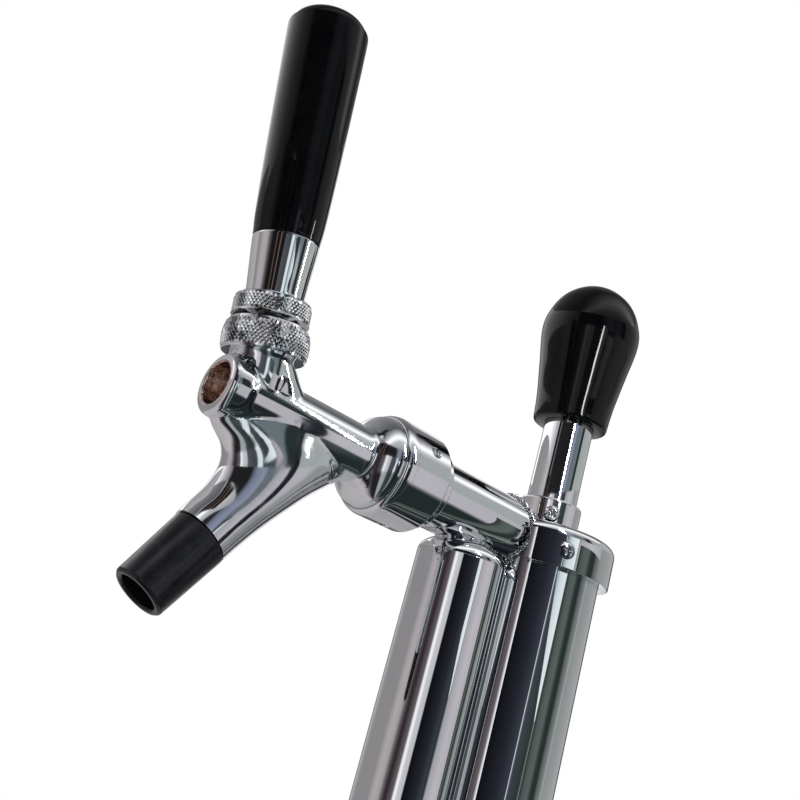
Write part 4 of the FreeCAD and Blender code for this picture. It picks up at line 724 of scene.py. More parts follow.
# Relief valve. A small chromed brass valve screwed into the manifold's side; a steel pin runs
# through it to a split wire ring, which a finger pulls to let the keg's air out.
def hexagon(name, flats, low_end, high_end, place, tilt, chamfer=0.5):
    """Hexagon bar with its corners turned back at both ends, as on a nut"""
    nothing_selected()
    bpy.ops.mesh.primitive_cylinder_add(vertices=6, radius=flats / math.sqrt(3) * MM,
                                        depth=(high_end - low_end) * MM)
    piece = stood(bpy.context.object, (0, 0, (low_end + high_end) / 2))
    piece.name = name
    corner = flats / math.sqrt(3)
    rim = flats / 2 - 0.1
    drop = (corner + 0.3 - rim) * 0.55 * chamfer / 0.5
    trimmed(piece, turned("turned_ends", [
        (0, low_end), (rim, low_end), (corner + 0.3, low_end + drop), (corner + 0.3, high_end - drop),
        (rim, high_end), (0, high_end)], steps=96), "INTERSECT")
    nothing_selected()
    piece.select_set(True)
    bpy.context.view_layer.objects.active = piece
    edge = piece.modifiers.new("edge", "BEVEL")
    edge.width = 0.12 * MM
    edge.segments = 2
    edge.angle_limit = math.radians(40)
    bpy.ops.object.modifier_apply(modifier=edge.name)
    return stood(piece, place, tilt)


ALONG_X = (0, math.radians(90), 0)
valve_place = (26.5, 21, 54)
valve = turned("relief_valve_body", softened([
    (4, 3.8), (5, 3.8), (5, 5.6, 0.2), (4.6, 6, 0.2), (4.6, 7, 0.2), (5, 7.4, 0.2), (5, 13.6, 0.2),
    (4, 15, 0.5), (2.08, 15, 0.2), (2.08, 12.5), (4, 12.5)], 0.1), valve_place, ALONG_X, steps=64)
flats = hexagon("relief_flats", 12, 0, 5, valve_place, ALONG_X)
trimmed(flats, turned("through", [(0, -1), (3.9, -1), (3.9, 6), (0, 6)], valve_place, ALONG_X, steps=48))
thread = turned("relief_thread", softened([(3.9, -7.9), (4.45, -7.9, 0.3), (4.45, 0.5), (3.9, 0.5)], 0.1),
                valve_place, ALONG_X, steps=48)
joined([valve, flats, thread])
trimmed(valve, turned("vent", [(0, -8), (1, -8), (1, 8), (0, 8)], (33.5, 21, 54), steps=24))
finished(smooth(valve), polished_chrome, "tap", "chrome", "relief_body")

pin = turned("relief_pin_eyed", softened([
    (0, -4.6), (3.7, -4.6, 0.2), (3.7, -2.2, 0.2), (2, -2.2), (2, 17.5, 0.3), (2.9, 18.4, 0.5),
    (2.9, 23.4, 0.8), (2, 24.4, 0.4), (0, 24.4)]), valve_place, ALONG_X, steps=48)
trimmed(pin, turned("pin_eye", [(0, -8), (3, -8), (1.9, -2.6), (1.4, -1.6), (1.4, 1.6), (1.9, 2.6), (3, 8),
                                (0, 8)], (47.4, 21, 54), (math.radians(90), 0, 0), steps=32))
finished(smooth(pin), bright_steel, "relief", "stainless", "relief_pin")

nothing_selected()
bpy.ops.mesh.primitive_circle_add(vertices=20, radius=0.9 * MM, fill_type="NGON",
                                  location=(10.1 * MM, 0, 0), rotation=(math.radians(90), 0, 0))
pull_ring = bpy.context.object
pull_ring.name = "relief_pull_ring"
bpy.ops.object.transform_apply(location=True, rotation=True)
bpy.ops.object.mode_set(mode="EDIT")
bpy.ops.mesh.select_all(action="SELECT")
bpy.ops.mesh.spin(steps=96, angle=math.radians(357.6), center=(0, 0, 0), axis=(0, 0, 1))
bpy.ops.mesh.select_all(action="SELECT")
bpy.ops.mesh.normals_make_consistent(inside=False)
bpy.ops.object.mode_set(mode="OBJECT")
stood(pull_ring, (0, 0, 0), (0, 0, math.radians(90)))
stood(pull_ring, (47.4, 21, 44.3), ALONG_X)
finished(smooth(pull_ring), bright_steel, "pull_ring", "stainless", "relief_ring")


# Probe. A stainless nose screwed up into the stem; it opens the keg's valve, and a rubber seal
# round it closes on the valve's seat. A loose nylon ball inside stops beer running back.
probe = turned("keg_probe", softened([
    (4, -45), (11, -45, 0.3), (13, -43, 0.4), (13, -41, 0.2), (9.5, -41, 0.1), (9.5, -36, 0.1),
    (12.5, -36, 0.2), (12.5, -34, 0.2), (9.5, -31, 0.8), (9.5, -11, 0.8), (12.5, -11, 0.3),
    (12.5, -8.05, 0.2), (12.5, -1.05, 0.2), (6, -1.05, 0.2), (6, -27.5, 0.1),
    (4, -27.5, 0.1), (4, -30, 0.1), (6, -30, 0.1), (6, -42, 0.1), (4, -42, 0.1)], 0.1), steps=96)
for turn in (0, 90):
    trimmed(probe, stood(block("slot", (-2, -14, -29), (2, 14, -23), 0.4, 2), (0, 0, 0),
                         (0, 0, math.radians(turn))))
finished(smooth(probe), bright_steel, "tap", "stainless", "probe")
nose_seal = turned("probe_nose_seal", softened([
    (9.55, -40.95), (14, -40.95, 0.4), (14.6, -39.8, 0.6), (15, -38.5, 0.8), (14.6, -37.2, 0.6),
    (14, -36.05, 0.4), (9.55, -36.05)], 0.1), steps=96)
finished(smooth(nose_seal), soft_rubber, "tap", "rubber", "probe_seal")


# Pump cylinder and beer column. Two drawn brass tubes, polished and chromed, standing on the
# manifold's plugs side by side.
tube_chrome = handled_material("tube_chrome", (0.81, 0.82, 0.83), 1.0, 0.02, 0.035, 0.05, 0.0000008,
                               size=28.0, tint=(0.76, 0.78, 0.80))
CYLINDER_R, COLUMN_R, TUBE_WALL = 25.4, 16.85, 1.5
cylinder = turned("pump_cylinder_tube", softened([
    (CYLINDER_R - TUBE_WALL, 62), (CYLINDER_R, 62, 0.3), (CYLINDER_R, 258.5, 0.3),
    (CYLINDER_R - TUBE_WALL, 258.5)], 0.2), PUMP_AXIS, steps=192)
finished(smooth(cylinder), tube_chrome, "tap", "chrome", "pump_cylinder")
column = turned("beer_column_tube", softened([
    (COLUMN_R - TUBE_WALL, 62), (COLUMN_R, 62, 0.3), (COLUMN_R, 240), (COLUMN_R - TUBE_WALL, 240)], 0.15),
    steps=160)
finished(smooth(column), tube_chrome, "tap", "chrome", "column_tube")


# Column cap. A spun dome soldered into the column's top and let in under the arm.
def flowing(points, count):
    """Smooth run of points through a few given ones"""
    first, last = Vector(points[0]), Vector(points[-1])
    ends = [2 * first - Vector(points[1])] + [Vector(p) for p in points] + [2 * last - Vector(points[-2])]
    run = []
    for a, b, c, d in zip(ends, ends[1:], ends[2:], ends[3:]):
        for step in range(count):
            t = step / count
            run.append(tuple(0.5 * (2 * b + (c - a) * t + (2 * a - 5 * b + 4 * c - d) * t * t
                                    + (3 * b - a - 3 * c + d) * t ** 3)))
    return run + [tuple(points[-1])]


ALONG_ARM = (math.radians(90), 0, 0)
ARM_Z = 258.1
ARM_PLACE = (0, 0, ARM_Z)
dome = turned("column_dome_cap", [(0, 234), (15.2, 234), (15.2, 240.02), (COLUMN_R, 240.02)] + [
    (COLUMN_R * math.cos(math.radians(lift)), 240 + 8 * math.sin(math.radians(lift)))
    for lift in range(3, 90, 3)] + [(0, 248)], steps=160)
trimmed(dome, turned("arm_way", [(0, -40), (12.9, -40), (12.9, 40), (0, 40)], ARM_PLACE, ALONG_ARM,
                     steps=160))
trimmed(dome, turned("beer_way", [(0, 230), (7.25, 230), (7.25, 260), (0, 260)], steps=48))
finished(smooth(dome), tube_chrome, "tap", "chrome", "column_cap")


# Cross arm. A short tube over the column; its far end is shaped to the pump cylinder's side.
arm = turned("cross_arm_tube", softened([(0, -40), (13, -40), (13, 28, 0.4), (11.5, 28, 0.2),
                                         (11.5, -15.5), (0, -15.5)], 0.1), ARM_PLACE, ALONG_ARM, steps=160)
trimmed(arm, turned("saddle", [(0, 230), (CYLINDER_R + 0.02, 230), (CYLINDER_R + 0.02, 290), (0, 290)],
                    PUMP_AXIS, steps=192))
trimmed(arm, turned("beer_way", [(0, 240), (7.25, 240), (7.25, 250), (0, 250)], steps=48))
finished(smooth(arm), tube_chrome, "tap", "chrome", "arm_tube")


# Welds and seam. Silver solder run in by hand where the arm meets the cylinder and the dome,
# and down the valleys between the tubes, then plated over: bright, lumpy and a little ragged.
def bead(name, points, thickness, lumps, seed):
    """Bead of solder run round a closed line of points, its thickness uneven as a hand leaves it"""
    nothing_selected()
    bpy.ops.mesh.primitive_torus_add(major_segments=len(points), minor_segments=12, major_radius=1,
                                     minor_radius=0.25)
    piece = bpy.context.object
    piece.name = name
    spots = [Vector(point) for point in points]
    for station in range(len(spots)):
        here = spots[station]
        along = (spots[(station + 1) % len(spots)] - spots[station - 1]).normalized()
        lump = thickness * (1 + lumps * noise.noise(here * 0.9 + Vector((seed, 0, 0)))
                            + 0.5 * lumps * noise.noise(here * 2.3))
        side = along.cross(Vector((0, 0, 1)))
        side = side.normalized() if side.length > 0.2 else along.cross(Vector((0, 1, 0))).normalized()
        other = along.cross(side)
        for corner in range(12):
            angle = math.tau * corner / 12
            spoke = side * math.cos(angle) + other * math.sin(angle)
            piece.data.vertices[station * 12 + corner].co = (here + spoke * lump) * MM
    bpy.ops.object.mode_set(mode="EDIT")
    bpy.ops.mesh.select_all(action="SELECT")
    bpy.ops.mesh.normals_make_consistent(inside=False)
    bpy.ops.object.mode_set(mode="OBJECT")
    return smooth(piece, 60)


def saddle_line(angle):
    """Point where the arm's skin meets the cylinder, and sits a little outside both"""
    x, z = 13.5 * math.sin(angle), 13.5 * math.cos(angle)
    return x, PUMP_Y - math.sqrt((CYLINDER_R + 0.5) ** 2 - x ** 2), ARM_Z + z


def dome_line(angle):
    """Point round the oval where the arm's underside sits in the column's dome"""
    x, y = 7.6 * math.cos(angle), 13.3 * math.sin(angle)
    return x, y, ARM_Z - math.sqrt(13.2 ** 2 - x ** 2) + 0.25


dull_solder = handled_material("plated_solder", (0.74, 0.75, 0.77), 1.0, 0.10, 0.12, 0.10, 0.00006,
                               size=420.0, tint=(0.60, 0.62, 0.64))
at_cylinder = bead("solder_welds", [saddle_line(math.tau * i / 180) for i in range(180)], 0.85, 0.75, 3.0)
at_column = bead("solder_dome", [dome_line(math.tau * i / 140) for i in range(140)], 0.75, 0.75, 8.0)
welds = joined([at_cylinder, at_column], "arm_solder_welds")
finished(welds, dull_solder, "tap", "solder", "arm_welds")

seams = []
for side in (1, -1):
    nothing_selected()
    bpy.ops.mesh.primitive_plane_add(size=MM)
    seam = bpy.context.object
    bpy.ops.object.mode_set(mode="EDIT")
    bpy.ops.mesh.select_all(action="SELECT")
    bpy.ops.mesh.merge(type="CENTER")
    column_side = [(side * x, math.sqrt(COLUMN_R ** 2 - x * x) - 0.05) for x in (2.2, 3.4, 4.6, 5.7)]
    pump_side = [(side * x, PUMP_Y - math.sqrt(CYLINDER_R ** 2 - x * x) + 0.05)
                 for x in (5.7, 4.6, 3.4, 2.2)]
    corners = column_side + [(side * 5.0, 16.3), (side * 4.75, 16.83), (side * 5.0, 17.2)] + pump_side
    bpy.ops.transform.translate(value=(corners[0][0] * MM, corners[0][1] * MM, 62.05 * MM))
    for (x, y), (further, deeper) in zip(corners, corners[1:] + corners[:1]):
        bpy.ops.mesh.extrude_region_move(
            TRANSFORM_OT_translate={"value": ((further - x) * MM, (deeper - y) * MM, 0)})
    bpy.ops.mesh.select_all(action="SELECT")
    bpy.ops.mesh.remove_doubles(threshold=1e-6)
    bpy.ops.mesh.edge_face_add()
    bpy.ops.mesh.extrude_region_move(TRANSFORM_OT_translate={"value": (0, 0, 176.8 * MM)})
    bpy.ops.mesh.select_all(action="SELECT")
    bpy.ops.mesh.normals_make_consistent(inside=False)
    bpy.ops.object.mode_set(mode="OBJECT")
    seams.append(seam)
seam = joined(seams, "tube_solder_seam")
finished(smooth(seam, 60), dull_solder, "tap", "solder", "seam_solder")


# Pump cap. A turned brass cap with a rounded edge, pulled over the cylinder's top and cut away
# in front for the arm. Three cross-head screws through its skirt hold it on.
cap = turned("pump_top_cap", softened([
    (12.75, 259.5), (25.45, 259.5), (25.45, 247.5, 0.3), (29.2, 247.5, 0.5), (29.2, 264.1, 4),
    (12.75, 264.1, 0.3)], 0.1), PUMP_AXIS, steps=192)
notch = block("notch", (-14.9, 0, 246.5), (14.9, PUMP_Y, 265.1))
trimmed(notch, turned("left_in", [(0, 240), (25.35, 240), (25.35, 270), (0, 270)], PUMP_AXIS, steps=192))
trimmed(cap, notch)


def outward(name_outline, radius, angle, height, steps=48, name="tool"):
    """Turned piece that points out from the pump's axis at an angle from straight ahead"""
    swing = math.radians(angle)
    place = (radius * math.sin(swing), PUMP_Y - radius * math.cos(swing), height)
    piece = turned(name, name_outline, (0, 0, 0), (math.radians(90), 0, 0), steps=steps)
    return stood(piece, place, (0, 0, swing))


for angle in (60, 180, 300):
    trimmed(cap, outward([(0, 0), (3.15, 0), (3.15, 0.7), (3.45, 1.3), (3.45, 4), (0, 4)], 28.2, angle,
                         254.3))
finished(smooth(cap), tube_chrome, "tap", "chrome", "pump_cap")

heads = []
for angle in (60, 180, 300):
    head = outward(softened([(0, -2.6), (1.5, -2.6), (1.5, 0.1), (3.1, 0.1, 0.2), (3.1, 0.9, 0.25)],
                            0.1)[:-1]
                   + [(3.1 * math.cos(math.radians(a)), 0.95 + 0.85 * math.sin(math.radians(a)))
                      for a in range(18, 90, 9)]
                   + [(0, 1.8)], 28.2, angle, 254.3, name="cap_screw")
    for turn in (20, 110):
        slot = stood(block("slot", (-0.42, -4, -1.75), (0.42, -0.75, 1.75), 0.12, 2), (0, 0, 0),
                     (0, math.radians(turn), 0))
        swing = math.radians(angle)
        stood(slot, (28.2 * math.sin(swing), PUMP_Y - 28.2 * math.cos(swing), 254.3), (0, 0, swing))
        trimmed(head, slot)
    heads.append(smooth(head))
heads = joined(heads, "cap_screw_heads")
finished(heads, polished_chrome, "tap", "chrome", "cap_screws")


# Guide bush. It stands up through the cap and guides the rod, and a round-head side screw with
# a drilled centre locks it.
bush = turned("rod_guide_bush", softened([
    (10.28, 254.45), (15.2, 254.45), (15.2, 259.45), (12.7, 259.45), (12.7, 277, 1.6), (10.28, 277, 0.4)],
    0.2), PUMP_AXIS, steps=144)
trimmed(bush, outward([(0, 0), (2.95, 0), (2.95, 0.6), (3.2, 1.0), (3.2, 4), (0, 4)], 11.5, 45, 270.2))
finished(smooth(bush), tube_chrome, "tap", "chrome", "rod_bush")
lock = outward(softened([
    (0, 0.05), (2.85, 0.05, 0.1), (2.85, 3.1, 0.3), (2.2, 4.0, 0.5), (1.5, 4.4, 0.3), (1.05, 4.4, 0.15),
    (0.85, 3.5, 0.2), (0.35, 3.5, 0.1), (0.25, 3.9, 0.1), (0, 3.9)], 0.1), 11.55, 45, 270.2,
    name="bush_lock_screw")
finished(smooth(lock, 40), polished_chrome, "tap", "chrome", "bush_screw")


# Pump rod and knob. A thick chromed tube, and a pear-shaped knob moulded in black phenolic and
# buffed to a high gloss.
rod = turned("pump_rod_tube", softened([(8.8, 131), (10.2, 131), (10.2, 317.5), (8.8, 317.5)], 0.15),
             PUMP_AXIS, steps=128)
finished(smooth(rod), tube_chrome, "pump_plunger", "chrome", "pump_rod")

black_gloss = handled_material("black_gloss", (0.0010, 0.0010, 0.0014), 0.0, 0.05, 0.06, 0.05, 0.000002,
                               size=70.0, specular=0.22, tint=(0.0022, 0.0021, 0.0022))
pear = flowing([(15.5, 1.2), (16.4, 11.48), (18.47, 25.42), (20.8, 41), (19.49, 49.41), (15.52, 57.12),
                (9.24, 62.34), (3.2, 64.1), (0, 64.3)], 8)
knob = turned("pump_pear_knob", [(0, 31), (4.8, 31), (4.8, 6.1), (10.25, 6.1), (10.25, 0.3), (10.55, 0),
                                 (14.3, 0), (14.75, 0.1), (15.15, 0.35), (15.4, 0.75)] + pear,
              (0, PUMP_Y, 311.5), steps=144)
finished(smooth(knob, 40), black_gloss, "pump_plunger", "black_gloss", "pump_knob")


# Shank. A flanged brass bush brazed into the arm's end; its ring shows between arm and nut.
shank = turned("faucet_shank_ring", softened([
    (4, 14), (11.45, 14), (11.45, 28.02), (15.5, 28.02, 0.8), (15.5, 32.3, 0.8), (11, 32.3), (11, 36.85),
    (14.3, 36.85), (14.3, 40.35), (4, 40.35)], 0.15), ARM_PLACE, ALONG_ARM, steps=144)
finished(smooth(shank), tube_chrome, "tap", "chrome", "faucet_shank")


# Coupling nut. A round turned nut with a rounded front lip. Three drilled holes take the pin of
# a spanner, which draws the faucet up to the shank.
nut = turned("round_coupling_nut", softened([
    (11.15, 32.8), (18.4, 32.8, 0.9), (18.4, 46, 0), (18.4, 49.2, 0.01)], 0.15)[:-8] + [
        (18.4, 49.0)] + [(16.9 + 1.5 * math.cos(math.radians(a)), 50.15 + 3.45 * math.sin(math.radians(a)))
                         for a in range(0, 91, 9)]
    + [(16.5, 53.6), (14.5, 52.7), (14.35, 52.4), (14.35, 37.0), (14.2, 36.85), (11.3, 36.85),
       (11.15, 36.7)], ARM_PLACE, ALONG_ARM, steps=160)
for angle in (62, 182, 302):
    hole = turned("spanner_hole", [(0, -2.2), (1.7, -1.9), (1.8, -1.5), (1.8, -0.5), (1.95, -0.2),
                                   (2.5, 0.2), (2.5, 3), (0, 3)], (0, 0, 0), ALONG_X, steps=40)
    stood(hole, (18.3, 0, 0))
    stood(hole, (0, -40.72, ARM_Z), (0, math.radians(angle - 90), 0))
    trimmed(nut, hole)
finished(smooth(nut), tube_chrome, "tap", "chrome", "coupling_nut")


# Faucet body. One brass casting, filed and polished until its shapes flow together, then
# chromed: bell, barrel with an open mouth, leaning neck, and the spout that bends under it.
LEAN = math.radians(8.4)
SLOPE = math.radians(180 - 32.4)
BALL_PLACE = (0, -109.001, 277.0)
SPOUT_PLACE = (0, -108.65, 213.0)
body = turned("faucet_cast_body", [(0, 50), (16.7, 50), (16.7, 53.65)] + [
    (16.7 * math.cos(math.radians(a)), 53.65 + 10 * math.sin(math.radians(a)))
    for a in (6, 12, 18, 24, 30, 36, 42, 48, 52)]
    + [(10.1, 62.3), (10, 63.4), (10, 105), (10, 111.5), (10.12, 112.6), (10.4, 113.9), (10.5, 115),
       (10.5, 118.85)]
    + [(8.3 + 2.2 * math.cos(math.radians(a)), 118.85 + 2.2 * math.sin(math.radians(a)))
       for a in (18, 36, 54, 72, 90)] + [(0, 121.05)], ARM_PLACE, ALONG_ARM, steps=96)
neck = turned("neck", [(0, -18.9), (9.1, -18.9), (10.3, -12), (10.3, -5.7), (10, -5.3), (10, -0.9),
                       (0, -0.9)], BALL_PLACE, (LEAN, 0, 0), steps=96)


def loft(name, rows, count):
    """Skin over level ovals: (height, rear, front, half width) in millimetres along the barrel"""
    rows = flowing_rows(rows, count)
    nothing_selected()
    bpy.ops.mesh.primitive_circle_add(vertices=64, radius=1, fill_type="NGON")
    piece = bpy.context.object
    piece.name = name
    bpy.ops.object.mode_set(mode="EDIT")
    bpy.ops.mesh.select_all(action="SELECT")
    height, rear, front, half = rows[0]
    bpy.ops.transform.resize(value=(half * MM, (front - rear) / 2 * MM, 1), center_override=(0, 0, 0))
    bpy.ops.transform.translate(value=(0, -(front + rear) / 2 * MM, height * MM))
    for old, new in zip(rows, rows[1:]):
        bpy.ops.mesh.extrude_region_move(TRANSFORM_OT_translate={"value": (
            0, ((old[1] + old[2]) - (new[1] + new[2])) / 2 * MM, (new[0] - old[0]) * MM)})
        middle = (0, -(new[1] + new[2]) / 2 * MM, new[0] * MM)
        bpy.ops.transform.resize(value=(new[3] / old[3], (new[2] - new[1]) / (old[2] - old[1]), 1),
                                 center_override=middle)
    bpy.ops.mesh.select_all(action="SELECT")
    bpy.ops.mesh.normals_make_consistent(inside=False)
    bpy.ops.object.mode_set(mode="OBJECT")
    return piece


def flowing_rows(rows, count):
    run = []
    padded = [rows[0]] + list(rows) + [rows[-1]]
    for a, b, c, d in zip(padded, padded[1:], padded[2:], padded[3:]):
        for step in range(count):
            t = step / count
            run.append([0.5 * (2 * q + (r - p) * t + (2 * p - 5 * q + 4 * r - s) * t * t
                               + (3 * q - p - 3 * r + s) * t ** 3)
                        for p, q, r, s in zip(a, b, c, d)])
    return run + [list(rows[-1])]


flare = loft("neck_flare", [(260.05, 85.69, 115.0, 9.2), (264.92, 89.19, 116.82, 9.7),
                            (267.83, 92.61, 118.25, 10.1), (271.75, 96.28, 119.23, 10.2)], 5)
spout = loft("spout", [
    (259.1, 69.55, 116.05, 9.17), (252.1, 66.85, 119.05, 9.65), (247.1, 66.25, 117.65, 10.15),
    (242.1, 71.65, 111.45, 10.53), (236.1, 78.05, 109.45, 10.63), (228.1, 85.25, 111.65, 10.43),
    (221.0, 91.22, 115.92, 10.14), (213.0, 97.10, 120.20, 9.75),
    (207.0, 101.0, 123.9, 9.6)], 6)
joined([body, neck, flare, spout])
cast_over(body, 0.45, 14)

nothing_selected()
body.select_set(True)
bpy.context.view_layer.objects.active = body
bpy.ops.object.mode_set(mode="EDIT")
bpy.ops.mesh.select_all(action="SELECT")
bpy.ops.mesh.bisect(plane_co=Vector(SPOUT_PLACE) * MM, plane_no=(0, -math.sin(math.radians(32.4)),
        -math.cos(math.radians(32.4))), clear_outer=True, use_fill=True)
bpy.ops.mesh.select_all(action="SELECT")
bpy.ops.mesh.bisect(plane_co=(0, -53.72 * MM, 0), plane_no=(0, 1, 0), clear_outer=True, use_fill=True)
bpy.ops.object.mode_set(mode="OBJECT")
smooth(body, 45)
body.data.materials.clear()
body.data.materials.append(cast_chrome)

bare_brass = handled_material("bare_brass", (0.92, 0.78, 0.70), 1.0, 0.14, 0.16, 0.10, 0.00025, size=420.0,
                              tint=(0.34, 0.21, 0.17))
mouth_bore = turned("mouth_bore", [(0, 50), (8.6, 50), (8.6, 66.1), (4.6, 66.1), (4.6, 70.1), (6.6, 70.1),
                                   (6.6, 114.93), (6.9, 114.93), (6.9, 120.25)] + [
    (7.7 - 0.8 * math.cos(math.radians(a)), 120.25 + 0.8 * math.sin(math.radians(a)))
    for a in (15, 30, 45, 60, 75, 90)]
    + [(7.7, 124), (0, 124)], ARM_PLACE, ALONG_ARM, steps=96)
spout_bore = turned("spout_bore", [(0, -12), (6.5, -12), (6.5, 4), (0, 4)], SPOUT_PLACE, (SLOPE, 0, 0),
                    steps=72)
tools = [mouth_bore, spout_bore]
for side in (1, -1):
    drill = turned("vent", [(0, -4), (1.45, -4), (1.5, 0), (1.62, 0.5), (2.0, 0.85), (2.35, 1.0),
                            (2.4, 1.2), (2.75, 1.45), (3.0, 4), (0, 4)], (0, 0, 0), ALONG_X, steps=48)
    stood(drill, (8.25, 0, 0))
    stood(drill, (0, -107.39, 266.1), (0, 0, math.radians(-90 + side * 34)))
    tools.append(drill)
for tool in tools:
    tool.data.materials.clear()
    tool.data.materials.append(bare_brass if tool in (mouth_bore, spout_bore) else cast_chrome)
    trimmed(body, tool)
tail = turned("body_tail", softened([(8.6, 41.85), (14.3, 41.85, 0.8), (14.3, 53.6), (8.6, 53.6)], 0.15),
              ARM_PLACE, ALONG_ARM, steps=96)
spigot = turned("spigot", softened([(6.5, -2), (7.8, -2), (7.8, 12, 0.4), (6.5, 12)], 0.15), SPOUT_PLACE,
                (SLOPE, 0, 0), steps=96)
for part in (tail, spigot):
    part.data.materials.append(cast_chrome)
    smooth(part)
joined([body, tail, spigot])
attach(body, "tap")
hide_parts("faucet_body")


# Valve shaft. Turned brass, seen in the mouth: a slotted collar with a dimpled front, and the
# stem that runs back to the seat. The lever's tip stands in the slot and slides it.
shaft = turned("faucet_valve_shaft", softened([
    (0, 56.95), (2.25, 56.95, 0.2), (2.75, 57.45, 0.2), (2.75, 98.625, 0.1), (6.5, 98.625, 0.2),
    (6.5, 113.625, 0.3), (5.5, 114.625, 0.3), (2.2, 114.625, 0.15), (1.0, 113.425, 0.1), (0, 113.425)],
    0.1), ARM_PLACE, ALONG_ARM, steps=96)
slot = block("shaft_slot", (-3.55, -109.39, 254.5), (3.55, -103.04, 266))
for point in slot.data.vertices:
    if point.co.z > 0.26:
        point.co.y -= 0.0037 if point.co.y < -0.106 else -0.00011
trimmed(shaft, slot)
finished(smooth(shaft), bare_brass, "valve", "brass", "valve_shaft")


# Nozzle. A moulded black tube pushed over the spout's end, with a satin skin.
black_satin = handled_material("black_satin", (0.0022, 0.0022, 0.0034), 0.0, 0.24, 0.10, 0.08, 0.00001,
                               size=150.0, specular=0.4, tint=(0.005, 0.005, 0.007))
nozzle = turned("spout_nozzle", softened([
    (6.5, 12.5, 0.3), (7.85, 12.5), (7.85, 0.05), (9.15, 0.05, 0.2), (9.75, 0.6, 0.4), (8.95, 24.1, 0.6),
    (8.15, 24.9, 0.5), (7.1, 24.9, 0.3), (6.5, 24.3, 0.4)], 0.12), SPOUT_PLACE, (SLOPE, 0, 0), steps=128)
finished(smooth(nozzle, 40), black_satin, "tap", "black_satin", "spout_tip")


# Bonnet and lever collar. Both are turned brass with diamond knurling rolled into them, so that
# fingers can grip them. The bonnet holds the lever's ball; the collar rides over it.
def knurled(piece, in_band, height):
    """Roll diamond knurling into the faces of a grid that in_band picks out"""
    nothing_selected()
    piece.select_set(True)
    bpy.context.view_layer.objects.active = piece
    mesh = piece.data
    first_new = len(mesh.vertices)
    picked(piece, "FACE", in_band)
    bpy.ops.mesh.poke(offset=0)
    bpy.ops.object.mode_set(mode="OBJECT")
    shared = {}
    for face in mesh.polygons:
        if face.select:
            for key in face.edge_keys:
                shared[key] = shared.get(key, 0) + 1
    picked(piece, "EDGE", lambda edge: max(edge.vertices) < first_new and shared.get(edge.key, 0) == 2)
    bpy.ops.mesh.dissolve_edges(use_verts=False)
    bpy.ops.object.mode_set(mode="OBJECT")
    picked(piece, "FACE", lambda face: len(face.vertices) == 4 and max(face.vertices) >= first_new)
    bpy.ops.mesh.poke(offset=height * MM)
    bpy.ops.object.mode_set(mode="OBJECT")
    return piece


knurl_chrome = handled_material("knurled_chrome", (0.78, 0.80, 0.81), 1.0, 0.05, 0.10, 0.04, 0.000004,
                                size=200.0, tint=(0.66, 0.68, 0.70))
band = [(13.45 + 0.4 * (t + 4.2) / 4.2 if t < 0 else math.sqrt(13.85 ** 2 - t ** 2), t)
        for t in [-3.9 + 9.1 * i / 5 for i in range(6)]]
bonnet = turned("knurled_bonnet", [(10.05, -4.6), (13.2, -4.6), (13.4, -4.45), (13.5, -4.2)] + band + [
    (12.7, 5.6), (12.35, 5.9), (12.0, 6.0), (8.4, 6.0), (8.2, 5.9), (6.95, 3.55), (7.0, 3.45), (9.9, 3.45),
    (10.05, 3.3)], BALL_PLACE, (LEAN, 0, 0), steps=64)
axis = Vector((0, -math.sin(LEAN), math.cos(LEAN)))


def bonnet_band(face):
    reach = face.center / MM - Vector(BALL_PLACE)
    level = reach.dot(axis)
    return -3.9 < level < 5.2 and (reach - axis * level).length > 12.3


knurled(bonnet, bonnet_band, 0.44)
finished(smooth(bonnet, 20), knurl_chrome, "tap", "chrome", "bonnet")

collar_band = [(12.25, 8.0 + 5.3 * i / 3) for i in range(4)]
collar = turned("knurled_lever_collar", [(12.6, 7.4), (12.69, 7.4), (12.6, 7.75)] + collar_band + [
    (12.35, 13.6), (12.1, 13.9), (4.9, 13.9), (4.8, 13.8), (4.8, 11.1), (4.9, 11.0),
    (math.sqrt(14.6 ** 2 - 11 ** 2), 11.0)] + [
        (math.sqrt(14.6 ** 2 - t * t), t) for t in (10.3, 9.6, 8.9, 8.2, 7.6)],
    BALL_PLACE, (LEAN, 0, 0), steps=56)


def lever_band(face):
    reach = face.center / MM - Vector(BALL_PLACE)
    level = reach.dot(axis)
    return 8.0 < level < 13.3 and (reach - axis * level).length > 12.05


knurled(collar, lever_band, 0.44)
finished(smooth(collar, 20), knurl_chrome, "handle", "chrome", "lever_collar")


# Lever and ferrule. The steel lever passes down through its ball into the valve; the tapered
# chrome ferrule and the handle screw down on its thread.
lever = turned("ball_lever", softened([(0, -21.8), (1.4, -21.5, 0.6), (2.6, -20.1, 1), (2.8, -19.0, 0.5),
                                       (2.24, -17.3, 0.5), (3.2, -14.0, 0.5), (3.2, -6.3, 0)], 0.1)[:-1] + [
    (3.2, -6.225)] + [(7 * math.cos(math.radians(a)), 7 * math.sin(math.radians(a)))
                      for a in range(-60, 54, 6)] + [
    (4.2, 5.6), (4.2, 10.5), (4.75, 11), (4.75, 31), (3.75, 31.9), (0, 31.9)], BALL_PLACE, (LEAN, 0, 0),
    steps=64)
finished(smooth(lever, 40), bright_steel, "handle", "stainless", "faucet_lever")
ferrule = turned("handle_tapered_ferrule", [(6.55, 13.95), (8.6, 13.95), (8.9, 14.0), (9.15, 14.15),
                                            (9.35, 14.4), (9.42, 14.8)] + flowing(
    [(9.46, 15.4), (9.85, 20.9), (10.55, 28.9), (10.94, 33.4)], 6)
    + [(10.97, 33.7), (10.9, 34.05), (6.55, 34.05)], BALL_PLACE, (LEAN, 0, 0), steps=128)
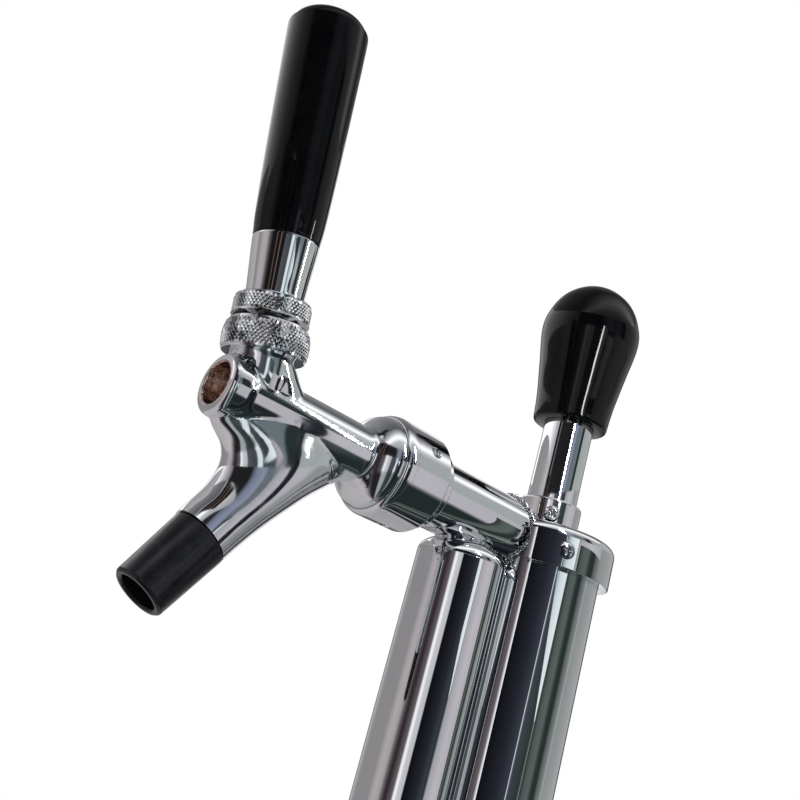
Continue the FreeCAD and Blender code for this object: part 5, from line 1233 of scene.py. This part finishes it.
finished(smooth(ferrule), tube_chrome, "handle", "chrome", "handle_ferrule")


# Handle. A long tapered grip moulded in black phenolic, buffed to a high gloss, with a domed top.
grip = turned("tap_long_handle", [(0, 51.1), (6.5, 51.1), (6.55, 51.0), (6.55, 34.25), (6.65, 34.15),
                                  (10.55, 34.15), (10.85, 34.3), (10.98, 34.6)] + flowing(
    [(11.05, 35.4), (11.75, 43.8), (12.7, 68.06), (13.8, 106.75), (13.35, 111.29), (11.15, 114.5),
     (6.9, 116.1), (3.0, 116.55), (0, 116.6)], 10), BALL_PLACE, (LEAN, 0, 0), steps=144)
finished(smooth(grip, 40), black_gloss, "handle", "black_gloss", "tap_handle")


# Inner parts. They keep their CAD shapes: seals and valves moulded in rubber, brass turned on a
# lathe, a spring-steel coil, a steel beer tube, nylon washers and ball, and an oiled leather cup.
nylon = handled_material("natural_nylon", (0.72, 0.71, 0.67), 0.0, 0.42, 0.12, 0.05, 0.00003, size=300.0,
                         tint=(0.80, 0.79, 0.76))
leather = handled_material("oiled_leather", (0.16, 0.085, 0.04), 0.0, 0.50, 0.18, 0.10, 0.00015,
                           size=650.0, tint=(0.08, 0.04, 0.02))
turned_brass = handled_material("turned_brass", (0.68, 0.50, 0.25), 1.0, 0.22, 0.14, 0.12, 0.00002,
                                size=260.0, tint=(0.55, 0.38, 0.18))
for paint, slot, inner in (
    (soft_rubber, "rubber", ("stem_seals", "cylinder_seal", "check_valve", "cap_gasket", "relief_seal",
                             "coupling_gasket", "seat_washer")),
                             (turned_brass, "brass", ("shaft_nut", "rod_end_plug", "piston_nut",
                                                      "piston_washer", "piston_spacer", "piston_plate",
                                                      "handle_insert", "knob_stud", "valve_retainer")),
                                                      (bright_steel, "stainless",
                                                       ("beer_tube", "relief_spring")),
                                                       (nylon, "white_plastic",
                                                        ("check_ball", "ball_washer", "friction_washer")),
                                                        (leather, "leather", ("piston_cup",)),
):
    for name in inner:
        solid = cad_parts[name]
        solid.data.materials.clear()
        solid.data.materials.append(paint)


low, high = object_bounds()
